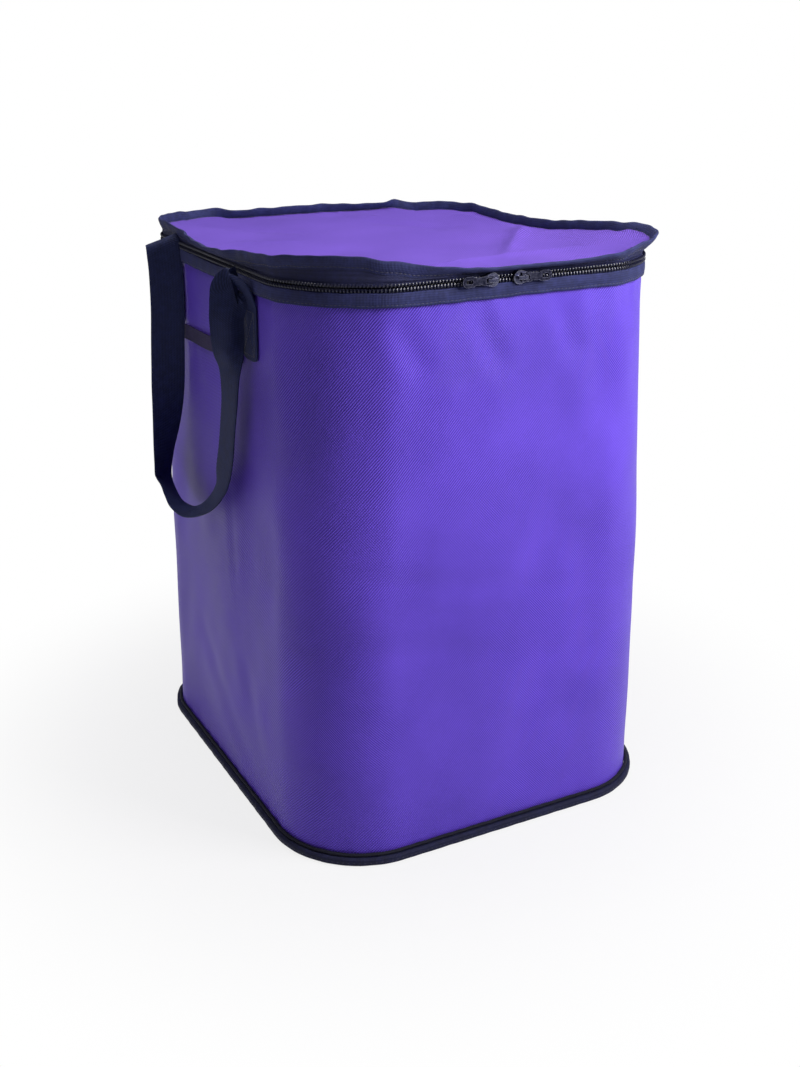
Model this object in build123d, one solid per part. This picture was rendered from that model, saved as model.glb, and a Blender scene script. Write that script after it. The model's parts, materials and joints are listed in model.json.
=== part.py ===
"""Box-shaped skate bag with a zip-round lid, two metal sliders and two webbing side handles.

Frame: millimetres, +Z up, origin on the floor under the middle of the bag.
The front, where the two sliders meet, faces -Y. The handles hang on the -X and +X sides.
"""
from build123d import *
import os
from math import cos, radians, sin, sqrt

os.makedirs("parts", exist_ok=True)

# ---- bag body ----
BASE_WIDTH = 300.0          # wall to wall at the floor, left to right
BASE_DEPTH = 345.0          # wall to wall at the floor, front to back
WALL_TOP = 404.0            # height of the wall's upper edge
WALL_LEAN = 6.5             # how far each wall leans in from the floor to the upper edge
CORNER_RADIUS = 67.0        # vertical corners, at the floor

# ---- cloth, foam and board thicknesses ----
SHELL_CLOTH = 0.8
FOAM = 4.0
LINING_CLOTH = 0.6
BASE_CLOTH = 1.2
BASE_BOARD = 3.0
LAYER_GAP = 0.2             # room left between two layers that lie on each other
BOARD_CLEARANCE = 0.5       # round the board, so that it can be dropped in

# ---- back seam, where the wall's two ends meet ----
SEAM_SLIT = 0.6
SEAM_TAPE_WIDTH = 16.0
SEAM_TAPE = 0.8
SEAM_TAPE_END_GAP = 4.0

# ---- base seam ----
TRIM_GAP = 0.3              # between the wall and the trim that runs round it
BINDING_WIDTH = 5.2
BINDING_HEIGHT = 6.2
BINDING_ROUNDING = 2.3
PIPING_DIAMETER = 2.6
PIPING_GAP = 0.1

# ---- upper edge and zip ----
MOUTH_BINDING = 1.8         # folded tape round the upper edge of the wall
MOUTH_BINDING_LAP = 3.2     # how far it laps down over the wall
MOUTH_BINDING_HEIGHT = 9.5
ZIP_TAPE = 0.8
COIL_WIDTH = 2.1            # one row of the coil, up the tape
COIL_THICKNESS = 2.3
COIL_SEAT = 0.1             # coil off the tape's face
COIL_SPLIT = 1.4            # room between the two rows for the slider's post
COIL_STAND = 0.2            # lower row over the wall's binding
UPPER_TAPE_HEIGHT = 10.5    # from the upper row's foot to the lid binding
HINGE_WIDTH = 150.0         # straight back stretch with cloth in place of the zip
ZIP_END_GAP = 0.5

# ---- lid ----
LID_BINDING_HEIGHT = 9.0
LID_BINDING = 3.0
LID_BINDING_PROUD = 1.2     # binding's outer face off the wall's outer face
LID_SAG = 15.0              # middle of the lid below its corners
LID_CLOTH = 1.0
LID_EDGE_DROP = 1.5         # lid cloth's corners under the top of its binding
HINGE_FOLD = 0.3            # hinge cloth's upper edge under the lid binding

# ---- zip sliders and pulls ----
SLIDER_LENGTH = 12.0
SLIDER_NOSE_RADIUS = 4.8
SLIDER_TAIL_RADIUS = 3.6
SLIDER_PLATE = 1.2
SLIDER_EDGE_BREAK = 0.4
SLIDER_CLEARANCE = 0.4
SLIDER_PLACES = {"left": (-17.0, -1), "right": (6.0, 1)}    # middle, and the way its pull lies
POST_LENGTH = 2.4
POST_THICKNESS = 0.8
POST_INSET = 0.8            # post's end from the slider's nose
CROWN_LENGTH = 7.6
CROWN_WIDTH = 2.2
CROWN_BAR = 1.2
CROWN_ROOM = 1.9            # free height under the crown
CROWN_ROUNDING = 1.4
CROWN_ROOM_ROUNDING = 0.6
PULL_LENGTH = 22.0
PULL_THICKNESS = 1.3
PULL_HEAD_WIDTH = 6.0
PULL_WAIST_WIDTH = 4.9
PULL_TAIL_WIDTH = 6.8
PULL_PAD_LENGTH = 10.2
PULL_EYE = (4.35, 3.4, 0.8)     # hole that the crown stands in: along, across and corner radius
PULL_SLOT = (5.6, 2.6, 1.25)    # oval hole at the far end
PULL_RIM = 2.0              # metal beyond the oval hole

# ---- handles ----
WEBBING_WIDTH = 25.4
WEBBING_THICKNESS = 1.6
HANDLE_SPACING = 138.0      # between the middles of the two sewn ends
FOLD_DROP = 6.0             # fold where the sewn layer turns over, under the wall's upper edge
FOLD_STANDOFF = 9.0         # fold's distance from the wall
ANCHOR_LENGTH = 43.0        # sewn layer, from its lower end up to the fold
KNUCKLE_RADIUS = 2.0
KNUCKLE_GAP = 0.3
SIDE_TAPE_HEIGHT = 11.0     # flat tape that ties the two sewn ends together
SIDE_TAPE_GAP = 0.5         # between the tape and the sewn layers' lower ends
SIDE_TAPE = 0.9
STITCH = 0.9                # width of a sewn line
STITCH_PROUD = 0.45
STITCH_MARGIN = 3.0         # sewn box in from the webbing's edges
STITCH_FOLD_MARGIN = 9.0    # sewn box under the fold

# Loop of a hanging handle: distance from the wall, place along the wall as a share of half the
# handle's spacing, drop under the fold, and turn of the webbing's face about its own run
# (90 and -90 lie flat along the wall, 0 stands square to it).
HANDLE_LOOP = [
    (FOLD_STANDOFF, -1.00, 0.0, 90),
    (9.6, -1.00, 9.0, 90),
    (11.0, -0.95, 28.0, 90),
    (11.0, -0.86, 53.0, 90),
    (10.0, -0.72, 85.0, 90),
    (9.5, -0.60, 113.0, 84),
    (10.5, -0.46, 137.0, 74),
    (12.5, -0.20, 159.0, 62),
    (14.5, 0.16, 174.0, 50),
    (17.0, 0.56, 177.0, 36),
    (19.5, 0.86, 166.0, 18),
    (20.0, 0.97, 143.0, 0),
    (18.5, 0.97, 113.0, -14),
    (17.5, 0.96, 83.0, -24),
    (16.0, 0.96, 50.0, -36),
    (12.5, 0.99, 26.0, -60),
    (9.6, 1.00, 9.0, -90),
    (FOLD_STANDOFF, 1.00, 0.0, -90),
]

# ---- levels and offsets that follow from the sizes above ----
MOUTH_HALF_DEPTH = BASE_DEPTH / 2 - WALL_LEAN
FOAM_OUT = -(SHELL_CLOTH + LAYER_GAP)
FOAM_IN = FOAM_OUT - FOAM
LINING_OUT = FOAM_IN - LAYER_GAP
LINING_IN = LINING_OUT - LINING_CLOTH
WALL_FOOT = BASE_CLOTH + LAYER_GAP
BOARD_TOP = WALL_FOOT + BASE_BOARD
MOUTH_BINDING_LOW = WALL_TOP - MOUTH_BINDING_LAP
MOUTH_BINDING_TOP = MOUTH_BINDING_LOW + MOUTH_BINDING_HEIGHT
COIL_LOW = MOUTH_BINDING_TOP + COIL_STAND
COIL_OUT = COIL_SEAT + COIL_THICKNESS
CHAIN_Z = COIL_LOW + COIL_WIDTH + COIL_SPLIT / 2
UPPER_COIL_LOW = CHAIN_Z + COIL_SPLIT / 2
LID_BINDING_LOW = UPPER_COIL_LOW + UPPER_TAPE_HEIGHT
LID_TOP = LID_BINDING_LOW + LID_BINDING_HEIGHT
PLATE_IN = COIL_OUT + SLIDER_CLEARANCE
PLATE_OUT = PLATE_IN + SLIDER_PLATE
BACK_PLATE_IN = -(ZIP_TAPE + SLIDER_CLEARANCE + SLIDER_PLATE)
FOLD_Z = WALL_TOP - FOLD_DROP
ANCHOR_LOW = FOLD_Z - ANCHOR_LENGTH
SIDE_TAPE_TOP = ANCHOR_LOW - SIDE_TAPE_GAP
SIDE_TAPE_LOW = SIDE_TAPE_TOP - SIDE_TAPE_HEIGHT
LOOP_POINTS = len(HANDLE_LOOP)


def lean(z):
    """How far the wall has leaned in at height z. Above the wall's edge it stands upright."""
    return WALL_LEAN * min(z, WALL_TOP) / WALL_TOP


def half_width(z):
    return BASE_WIDTH / 2 - lean(z)


def outline(z, grow):
    """Rounded outline of the bag at height z, moved out from the wall's outer face by grow."""
    reach = grow - lean(z)
    width = BASE_WIDTH + 2 * reach
    depth = BASE_DEPTH + 2 * reach
    return Pos(0, 0, z) * RectangleRounded(width, depth, CORNER_RADIUS + reach)


def filled(low, high, grow):
    return loft([outline(low, grow), outline(high, grow)], ruled=True)


def sleeve(low, high, inner, outer):
    """Tube between two offsets of the wall, from one height to another."""
    return filled(low, high, outer) - filled(low, high, inner)


def block(x_range, y_range, z_range):
    ranges = (x_range, y_range, z_range)
    size = [high - low for low, high in ranges]
    middle = [(high + low) / 2 for low, high in ranges]
    return Pos(*middle) * Box(*size)


def ring(section, z, grow):
    """Sweep a section, drawn about (0, 0) with +X outward, round the wall."""
    front_y = -(BASE_DEPTH / 2 - lean(z) + grow)
    start = Plane(origin=(0, front_y, z), x_dir=(0, -1, 0), z_dir=(1, 0, 0))
    return sweep(start * section, path=outline(z, grow).face().outer_wire())


def hinge_stretch(inner, outer, low, high, end_gap=0.0):
    """Block over the straight back stretch where the hinge cloth takes the zip's place."""
    half = HINGE_WIDTH / 2 + end_gap
    return block((-half, half), (MOUTH_HALF_DEPTH + inner, MOUTH_HALF_DEPTH + outer), (low, high))


def zip_run(low, high, inner, outer):
    """Strip round the two sides and the front, open at the hinge."""
    margin = 1.0
    gap = hinge_stretch(inner - margin, outer + margin, low - margin, high + margin, ZIP_END_GAP)
    return sleeve(low, high, inner, outer) - gap


def save(name, *solids):
    shape = solids[0] if len(solids) == 1 else Compound(children=list(solids))
    export_step(shape, f"parts/{name}.step")
    print(f"{name}: {sum(solid.volume for solid in solids) / 1000:.2f} cm3")


# ---- walls: shell cloth in one wrap, foam, lining and the tape inside the back seam ----
def make_walls():
    wrap = sleeve(WALL_FOOT, WALL_TOP, -SHELL_CLOTH, 0)
    half_slit = SEAM_SLIT / 2
    save("wall_wrap", wrap - block((-half_slit, half_slit), (0, BASE_DEPTH), (0, 2 * WALL_TOP)))
    save("wall_foam", sleeve(WALL_FOOT, WALL_TOP, FOAM_IN, FOAM_OUT))
    turned_edge = sleeve(WALL_TOP, WALL_TOP + LINING_CLOTH, LINING_IN, FOAM_OUT)
    save("wall_lining", sleeve(WALL_FOOT, WALL_TOP, LINING_IN, LINING_OUT) + turned_edge)
    tape_out = LINING_IN - LAYER_GAP
    tape_low = BOARD_TOP + SEAM_TAPE_END_GAP
    tape = sleeve(tape_low, WALL_TOP - SEAM_TAPE_END_GAP, tape_out - SEAM_TAPE, tape_out)
    half_tape = SEAM_TAPE_WIDTH / 2
    save("back_seam_tape", tape & block((-half_tape, half_tape), (0, BASE_DEPTH), (0, WALL_TOP)))


# ---- base: outer cloth, stiffening board, lining and the bound seam round it ----
def make_base():
    inside = LINING_IN - BOARD_CLEARANCE
    lining_low = BOARD_TOP + LAYER_GAP
    save("base_cloth", filled(0, BASE_CLOTH, 0))
    save("base_board", filled(WALL_FOOT, BOARD_TOP, inside))
    save("base_lining", filled(lining_low, lining_low + LINING_CLOTH, inside))
    binding = RectangleRounded(BINDING_WIDTH, BINDING_HEIGHT, BINDING_ROUNDING)
    save("base_binding", ring(binding, BINDING_HEIGHT / 2, TRIM_GAP + BINDING_WIDTH / 2))
    piping_radius = PIPING_DIAMETER / 2
    piping_z = BINDING_HEIGHT + PIPING_GAP + piping_radius
    save("base_piping", ring(Circle(piping_radius), piping_z, TRIM_GAP + piping_radius))


# ---- upper edge: binding, the bag's half of the zip and the hinge cloth ----
def make_upper_edge():
    binding_out = LAYER_GAP + MOUTH_BINDING
    save("mouth_binding", sleeve(MOUTH_BINDING_LOW, MOUTH_BINDING_TOP, LAYER_GAP, binding_out))
    coil_top = COIL_LOW + COIL_WIDTH
    save("zip_tape_lower", zip_run(WALL_TOP, coil_top, -ZIP_TAPE, 0))
    save("zip_coil_lower", zip_run(COIL_LOW, coil_top, COIL_SEAT, COIL_OUT))
    save("lid_hinge_cloth", hinge_stretch(-ZIP_TAPE, 0, WALL_TOP, LID_BINDING_LOW - HINGE_FOLD))


# ---- lid: its half of the zip, binding, sagging cloth and lining ----
def make_lid():
    save("zip_tape_upper", zip_run(UPPER_COIL_LOW, LID_BINDING_LOW, -ZIP_TAPE, 0))
    save("zip_coil_upper", zip_run(UPPER_COIL_LOW, UPPER_COIL_LOW + COIL_WIDTH, COIL_SEAT, COIL_OUT))
    binding_in = LID_BINDING_PROUD - LID_BINDING
    save("lid_binding", sleeve(LID_BINDING_LOW, LID_TOP, binding_in, LID_BINDING_PROUD))

    edge = binding_in - LAYER_GAP
    half_x = half_width(WALL_TOP) + edge
    half_y = MOUTH_HALF_DEPTH + edge
    corner_cut = (CORNER_RADIUS - WALL_LEAN + edge) * (sqrt(2) - 1)
    corner_reach = sqrt(half_x ** 2 + half_y ** 2) - corner_cut
    bowl_radius = (corner_reach ** 2 + LID_SAG ** 2) / (2 * LID_SAG)
    slab = filled(WALL_TOP, LID_TOP, edge)

    def bowl(upper_z, thickness):
        """Sagging sheet whose upper face is at upper_z in the middle of the lid."""
        centre = Pos(0, 0, upper_z + bowl_radius)
        return slab & (centre * Sphere(bowl_radius + thickness) - centre * Sphere(bowl_radius))

    cloth_z = LID_TOP - LID_EDGE_DROP - LID_SAG
    save("lid_cloth", bowl(cloth_z, LID_CLOTH))
    save("lid_lining", bowl(cloth_z - LID_CLOTH - LAYER_GAP, LINING_CLOTH))


# ---- sliders and pulls; way is -1 where the narrow end and the pull point to -X, 1 to +X ----
def front_plane(x, grow):
    """Plane on the front of the zip band, facing out, with its origin on the zip's middle line."""
    return Plane(origin=(x, -(MOUTH_HALF_DEPTH + grow), CHAIN_Z), x_dir=(1, 0, 0), z_dir=(0, -1, 0))


def make_slider(side, centre, way):
    half = SLIDER_LENGTH / 2
    nose = Pos(-way * (half - SLIDER_NOSE_RADIUS), 0) * Circle(SLIDER_NOSE_RADIUS)
    tail = Pos(way * (half - SLIDER_TAIL_RADIUS), 0) * Circle(SLIDER_TAIL_RADIUS)
    profile = make_hull(nose.edges() + tail.edges())
    front_plate = extrude(front_plane(centre, PLATE_IN) * profile, SLIDER_PLATE)
    front_plate = chamfer(front_plate.faces().sort_by(Axis.Y)[0].edges(), SLIDER_EDGE_BREAK)
    back_plate = extrude(front_plane(centre, BACK_PLATE_IN) * profile, SLIDER_PLATE)

    post_middle = -way * (half - POST_INSET - POST_LENGTH / 2)
    post_section = Pos(post_middle, 0) * Rectangle(POST_LENGTH, POST_THICKNESS)
    post_base = BACK_PLATE_IN + SLIDER_PLATE
    post = extrude(front_plane(centre, post_base) * post_section, PLATE_IN - post_base)

    crown_height = CROWN_ROOM + CROWN_BAR
    arch = Pos(0, -crown_height / 2) * Rectangle(CROWN_LENGTH, crown_height)
    arch = fillet(arch.vertices().group_by(Axis.Y)[0], CROWN_ROUNDING)
    room = Pos(0, -CROWN_ROOM / 2) * Rectangle(CROWN_LENGTH - 2 * CROWN_BAR, CROWN_ROOM)
    room = fillet(room.vertices().group_by(Axis.Y)[0], CROWN_ROOM_ROUNDING)
    crown_start = Plane(origin=(centre, -(MOUTH_HALF_DEPTH + PLATE_OUT), CHAIN_Z - CROWN_WIDTH / 2))
    crown = extrude(crown_start * (arch - room), CROWN_WIDTH)
    save(f"slider_{side}", front_plate + back_plate + post + crown)


def make_pull(side, centre, way):
    """Flat pull whose end bar lies under the crown and whose eye clears the crown's foot."""
    bar = PULL_THICKNESS / 2
    eye_length, eye_width, eye_radius = PULL_EYE
    slot_length, slot_width, slot_radius = PULL_SLOT
    neck = bar + eye_length
    rim = (PULL_HEAD_WIDTH - eye_width) / 2

    def along(distance):
        return Pos(way * distance, 0)

    head = along((neck + rim - bar) / 2) * Rectangle(neck + rim + bar, PULL_HEAD_WIDTH)
    waist = along((neck + PULL_LENGTH) / 2) * Rectangle(PULL_LENGTH - neck - PULL_RIM, PULL_WAIST_WIDTH)
    pad_middle = PULL_LENGTH - PULL_PAD_LENGTH / 2
    pad = along(pad_middle) * RectangleRounded(PULL_PAD_LENGTH, PULL_TAIL_WIDTH, PULL_TAIL_WIDTH * 0.45)
    eye = along(bar + eye_length / 2) * RectangleRounded(eye_length, eye_width, eye_radius)
    slot_middle = PULL_LENGTH - PULL_RIM - slot_length / 2
    slot = along(slot_middle) * RectangleRounded(slot_length, slot_width, slot_radius)
    inner_face = PLATE_OUT + CROWN_ROOM / 2 - bar
    shape = head + waist + pad - eye - slot
    save(f"pull_{side}", extrude(front_plane(centre, inner_face) * shape, PULL_THICKNESS))


# ---- handles, made on the -X side and mirrored to the other ----
def handle_points():
    points = []
    for out, share, drop, _ in HANDLE_LOOP:
        z = FOLD_Z - drop
        points.append(Vector(-(half_width(z) + out), share * HANDLE_SPACING / 2, z))
    return points


def handle_section(index, points):
    """Webbing's cross-section at one point of the loop, square to its run."""
    if index == 0:
        run = Vector(0, 0, -1)
    elif index == LOOP_POINTS - 1:
        run = Vector(0, 0, 1)
    else:
        run = (points[index + 1] - points[index - 1]).normalized()
    outward = run.cross(Vector(1, 0, 0)).normalized()
    square = outward.cross(run).normalized()
    turn = radians(HANDLE_LOOP[index][3])
    across = square * cos(turn) + outward * sin(turn)
    plane = Plane(origin=points[index], x_dir=across, z_dir=run)
    return plane * Rectangle(WEBBING_WIDTH, WEBBING_THICKNESS)


def make_strap():
    points = handle_points()
    strap = loft([handle_section(i, points) for i in range(LOOP_POINTS)], ruled=True)
    for end in (points[0], points[-1]):
        strap += Pos(*end) * Rot(90, 0, 0) * Cylinder(KNUCKLE_RADIUS, WEBBING_WIDTH)
    length = sum((b - a).length for a, b in zip(points, points[1:]))
    print(f"handle loop: {length:.0f} mm of webbing between the folds")
    return strap


def left_side(y_range, z_range):
    return block((-BASE_WIDTH, 0), y_range, z_range)


def make_anchor(y):
    """Sewn layer flat on the wall, with the lip that turns out towards the fold."""
    y_range = (y - WEBBING_WIDTH / 2, y + WEBBING_WIDTH / 2)
    face = LAYER_GAP + WEBBING_THICKNESS
    lip_low = FOLD_Z - WEBBING_THICKNESS / 2
    lip_high = FOLD_Z + WEBBING_THICKNESS / 2
    layer = sleeve(ANCHOR_LOW, lip_high, LAYER_GAP, face) & left_side(y_range, (0, WALL_TOP))
    lip_near = half_width(lip_high) + face / 2
    lip_far = half_width(FOLD_Z) + FOLD_STANDOFF - KNUCKLE_RADIUS - KNUCKLE_GAP
    return layer + block((-lip_far, -lip_near), y_range, (lip_low, lip_high))


def make_box_stitch(y):
    """Raised thread in a box round the sewn layer."""
    face = LAYER_GAP + WEBBING_THICKNESS
    low = ANCHOR_LOW + STITCH_MARGIN
    high = FOLD_Z - STITCH_FOLD_MARGIN
    half = WEBBING_WIDTH / 2 - STITCH_MARGIN
    box = left_side((y - half, y + half), (low, high))
    box -= left_side((y - half + STITCH, y + half - STITCH), (low + STITCH, high - STITCH))
    return sleeve(low, high, face, face + STITCH_PROUD) & box


def make_side_tape():
    half = (HANDLE_SPACING - WEBBING_WIDTH) / 2 - TRIM_GAP
    tape = sleeve(SIDE_TAPE_LOW, SIDE_TAPE_TOP, LAYER_GAP, LAYER_GAP + SIDE_TAPE)
    return tape & left_side((-half, half), (0, WALL_TOP))


def make_handles():
    front = -HANDLE_SPACING / 2
    back = HANDLE_SPACING / 2
    pieces = {
        "handle_strap": [make_strap()],
        "handle_anchor_front": [make_anchor(front)],
        "handle_anchor_back": [make_anchor(back)],
        "handle_stitching": [make_box_stitch(front), make_box_stitch(back)],
        "side_tape": [make_side_tape()],
    }
    for name, solids in pieces.items():
        save(f"{name}_left", *solids)
        save(f"{name}_right", *[mirror(solid, about=Plane.YZ) for solid in solids])


make_walls()
make_base()
make_upper_edge()
make_lid()
for slider_side, (slider_x, pull_way) in SLIDER_PLACES.items():
    make_slider(slider_side, slider_x, pull_way)
    make_pull(slider_side, slider_x, pull_way)
make_handles()
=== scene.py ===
"""Looks of the box-shaped skate bag: cloth shell, bound zip-round lid, coil zip and webbing handles.

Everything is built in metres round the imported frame, +Z up. The front, where the sliders meet, faces -Y.
Most pieces are sections carried round the rim. A place on the rim is s, the distance along the mouth
from the middle of the back, leftwards and round; grow is the distance out from the wall's outer face.
"""
import json
import math
import bpy
import numpy as np
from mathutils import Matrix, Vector


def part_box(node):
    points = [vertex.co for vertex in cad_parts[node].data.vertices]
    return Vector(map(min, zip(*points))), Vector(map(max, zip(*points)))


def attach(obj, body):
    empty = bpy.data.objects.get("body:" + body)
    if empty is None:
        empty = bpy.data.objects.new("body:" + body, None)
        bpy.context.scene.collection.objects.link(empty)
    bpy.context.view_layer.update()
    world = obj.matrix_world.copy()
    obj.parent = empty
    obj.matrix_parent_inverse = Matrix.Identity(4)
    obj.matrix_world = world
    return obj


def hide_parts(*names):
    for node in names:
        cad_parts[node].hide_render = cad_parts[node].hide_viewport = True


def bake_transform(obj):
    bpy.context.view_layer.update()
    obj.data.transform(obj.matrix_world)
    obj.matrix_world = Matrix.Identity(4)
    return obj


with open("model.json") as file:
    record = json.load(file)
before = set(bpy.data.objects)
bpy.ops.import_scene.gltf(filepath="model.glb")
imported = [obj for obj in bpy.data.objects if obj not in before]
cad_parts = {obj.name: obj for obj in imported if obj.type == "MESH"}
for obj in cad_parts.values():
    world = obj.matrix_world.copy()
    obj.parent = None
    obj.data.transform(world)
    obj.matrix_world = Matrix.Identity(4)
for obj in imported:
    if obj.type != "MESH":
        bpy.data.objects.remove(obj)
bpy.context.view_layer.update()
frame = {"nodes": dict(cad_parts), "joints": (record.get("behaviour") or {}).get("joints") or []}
MM = 0.001
TINY = 1e-5

# ---- the wall's plan, read from the frame ----
wall_low, wall_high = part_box("wall_wrap")
wall_points = np.array([v.co for v in frame["nodes"]["wall_wrap"].data.vertices])
foot_points = wall_points[wall_points[:, 2] < wall_low.z + TINY]
CORE_X = np.abs(foot_points[foot_points[:, 1] < wall_low.y + TINY][:, 0]).max()
CORE_Y = np.abs(foot_points[foot_points[:, 0] < wall_low.x + TINY][:, 1]).max()
FOOT_Z = wall_low.z
WALL_TOP = wall_high.z
FOOT_RADIUS = -wall_low.x - CORE_X
MOUTH_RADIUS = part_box("zip_tape_lower")[1].x - CORE_X
CORNER = math.pi / 2 * MOUTH_RADIUS
RIM = 4 * (CORE_X + CORE_Y + CORNER)
LEFT_MIDDLE = CORE_X + CORNER + CORE_Y
FRONT_MIDDLE = RIM / 2
RIGHT_MIDDLE = RIM - LEFT_MIDDLE
FRONT_LEFT = LEFT_MIDDLE + CORE_Y + CORNER / 2
FRONT_RIGHT = RIM - FRONT_LEFT
BACK_LEFT = CORE_X + CORNER / 2
BACK_RIGHT = RIM - BACK_LEFT

RIM_LEGS = [CORE_X, CORNER, 2 * CORE_Y, CORNER, 2 * CORE_X, CORNER, 2 * CORE_Y, CORNER, CORE_X]
RIM_KNOTS = np.concatenate([[0], np.cumsum(RIM_LEGS)])
RIM_X = CORE_X * np.array([0, -1, -1, -1, -1, 1, 1, 1, 1, 0])
RIM_Y = CORE_Y * np.array([1, 1, 1, -1, -1, -1, -1, 1, 1, 1])
RIM_TURN = np.radians([90, 90, 180, 180, 270, 270, 360, 360, 450, 450])


def rim(s):
    """Core point and outward direction at each place s."""
    s = np.mod(s, RIM)
    core = np.stack([np.interp(s, RIM_KNOTS, RIM_X), np.interp(s, RIM_KNOTS, RIM_Y)], axis=-1)
    turn = np.interp(s, RIM_KNOTS, RIM_TURN)
    return core, np.stack([np.cos(turn), np.sin(turn)], axis=-1)


def radius_at(z):
    share = (np.minimum(z, WALL_TOP) - FOOT_Z) / (WALL_TOP - FOOT_Z)
    return FOOT_RADIUS + (MOUTH_RADIUS - FOOT_RADIUS) * share


def rise(value, start, end):
    """Smooth step from 0 at start to 1 at end."""
    t = np.clip((value - start) / (end - start), 0, 1)
    return t * t * (3 - 2 * t)


CORNERS = (BACK_LEFT, FRONT_LEFT, FRONT_RIGHT, BACK_RIGHT)
CORNER_PULL = 5.5 * MM
CORNER_REACH = 38 * MM
PULL_LOW = 0.17


def corner_pull(s, z):
    """How far the zipped mouth draws each corner in, from part way up the wall."""
    near = sum(np.exp(-((np.mod(s - at + RIM / 2, RIM) - RIM / 2) / CORNER_REACH) ** 4) for at in CORNERS)
    return CORNER_PULL * near * rise(z, PULL_LOW, WALL_TOP)


def place(s, grow, z):
    """Points at rim places s, off the wall by grow, at heights z; the three broadcast together."""
    s, grow, z = np.broadcast_arrays(s, grow, z)
    core, out = rim(s)
    reach = radius_at(z) + grow - corner_pull(s, z)
    return np.stack([core[..., 0] + out[..., 0] * reach, core[..., 1] + out[..., 1] * reach, z], axis=-1)


def on_left(y):
    return LEFT_MIDDLE - y


def on_right(y):
    return RIGHT_MIDDLE + y


def on_front(x):
    return FRONT_MIDDLE + x


def on_back(x):
    return -x


def track(stops, softness):
    """Smooth closed track of a value round the rim, through (place, value) stops."""
    stops = sorted((at % RIM, value) for at, value in stops)
    fine = np.arange(0, RIM, MM)
    rough = np.interp(fine, [at for at, _ in stops], [value for _, value in stops], period=RIM)
    reach = int(3 * softness / MM)
    kernel = np.exp(-0.5 * (np.arange(-reach, reach + 1) * MM / softness) ** 2)
    kernel /= kernel.sum()
    smooth = np.convolve(np.concatenate([rough[-reach:], rough, rough[:reach]]), kernel, mode="valid")
    return lambda s: np.interp(np.mod(s, RIM), fine, smooth, period=RIM)


def ripple(s, cycles, seed):
    """Uneven wave round the rim, within -1 to 1, made of whole cycles so that it closes."""
    phases = np.random.default_rng(seed).uniform(0, 2 * math.pi, len(cycles))
    return sum(np.sin(2 * math.pi * n * s / RIM + p) for n, p in zip(cycles, phases)) / len(cycles)


# ---- mesh building ----
def make_mesh(name, points, faces, corner_uv=None):
    mesh = bpy.data.meshes.new(name)
    mesh.vertices.add(len(points))
    mesh.vertices.foreach_set("co", np.ascontiguousarray(points, np.float32).ravel())
    sizes = np.array([len(face) for face in faces])
    mesh.loops.add(int(sizes.sum()))
    mesh.loops.foreach_set("vertex_index", np.concatenate(faces).astype(np.int32))
    mesh.polygons.add(len(sizes))
    mesh.polygons.foreach_set("loop_start", np.concatenate([[0], np.cumsum(sizes)[:-1]]).astype(np.int32))
    mesh.update(calc_edges=True)
    if corner_uv is not None:
        layer = mesh.uv_layers.new(name="weave")
        layer.data.foreach_set("uv", np.ascontiguousarray(corner_uv, np.float32).ravel())
    mesh.validate()
    mesh.shade_smooth()
    mesh.set_sharp_from_angle(angle=math.radians(50))
    made = bpy.data.objects.new(name, mesh)
    bpy.context.scene.collection.objects.link(made)
    return made


def grid_quads(rows, columns, wrap_rows, wrap_columns):
    """Quads of a grid of points, and the unwrapped row and column of each of their corners."""
    i = np.arange(rows if wrap_rows else rows - 1)
    j = np.arange(columns if wrap_columns else columns - 1)
    i, j = (a.ravel() for a in np.meshgrid(i, j, indexing="ij"))
    corner_rows = np.stack([i, i + 1, i + 1, i], axis=1)
    corner_columns = np.stack([j, j, j + 1, j + 1], axis=1)
    return corner_rows % rows * columns + corner_columns % columns, corner_rows, corner_columns


def tube(name, points, along, around, closed):
    """Solid of a closed section (columns) carried along a run (rows), closed into a ring or capped.
    along and around are the weave's coordinates; around, and along if closed, have one entry more
    than there are columns or rows."""
    rows, columns = points.shape[:2]
    quads, corner_rows, corner_columns = grid_quads(rows, columns, closed, True)
    faces = list(quads)
    uv = np.stack([along[corner_rows], around[corner_columns]], axis=2).reshape(-1, 2)
    if not closed:
        ring = np.arange(columns)
        for row, order in ((0, ring[::-1]), (rows - 1, ring)):
            faces.append(row * columns + order)
            uv = np.concatenate([uv, np.stack([np.full(columns, along[row]), around[order]], axis=1)])
    return make_mesh(name, points.reshape(-1, 3), faces, uv)


def lengths(points):
    return np.concatenate([[0], np.cumsum(np.linalg.norm(np.diff(points, axis=0), axis=1))])


def section_uv(section):
    """Distance round a closed section of (grow, z) points, with the closing entry."""
    return lengths(np.concatenate([section, section[:1]]))


def rounded(half_width, half_height, corner, steps=3):
    """Closed section of a rounded rectangle about (0, 0), anticlockwise from its lower right."""
    points = []
    for cx, cy, start in ((1, -1, -90), (1, 1, 0), (-1, 1, 90), (-1, -1, 180)):
        for k in range(steps + 1):
            turn = math.radians(start + 90 * k / steps)
            x = cx * (half_width - corner) + corner * math.cos(turn)
            points.append((x, cy * (half_height - corner) + corner * math.sin(turn)))
    return np.array(points)


def rim_ring(name, section, spacing, shape=None, s_range=None):
    """Section of (grow, z) points carried round the rim, or along part of it. shape(s, grow, z)
    returns the moved grow and z."""
    closed = s_range is None
    start, end = (0.0, RIM) if closed else s_range
    count = int(round((end - start) / spacing))
    s = np.linspace(start, end, count + 1)
    rows = s[:-1] if closed else s
    grow, z = section[:, 0][None, :], section[:, 1][None, :]
    if shape is not None:
        grow, z = shape(rows[:, None], grow, z)
    return tube(name, place(rows[:, None], grow, z), s, section_uv(section), closed)


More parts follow.
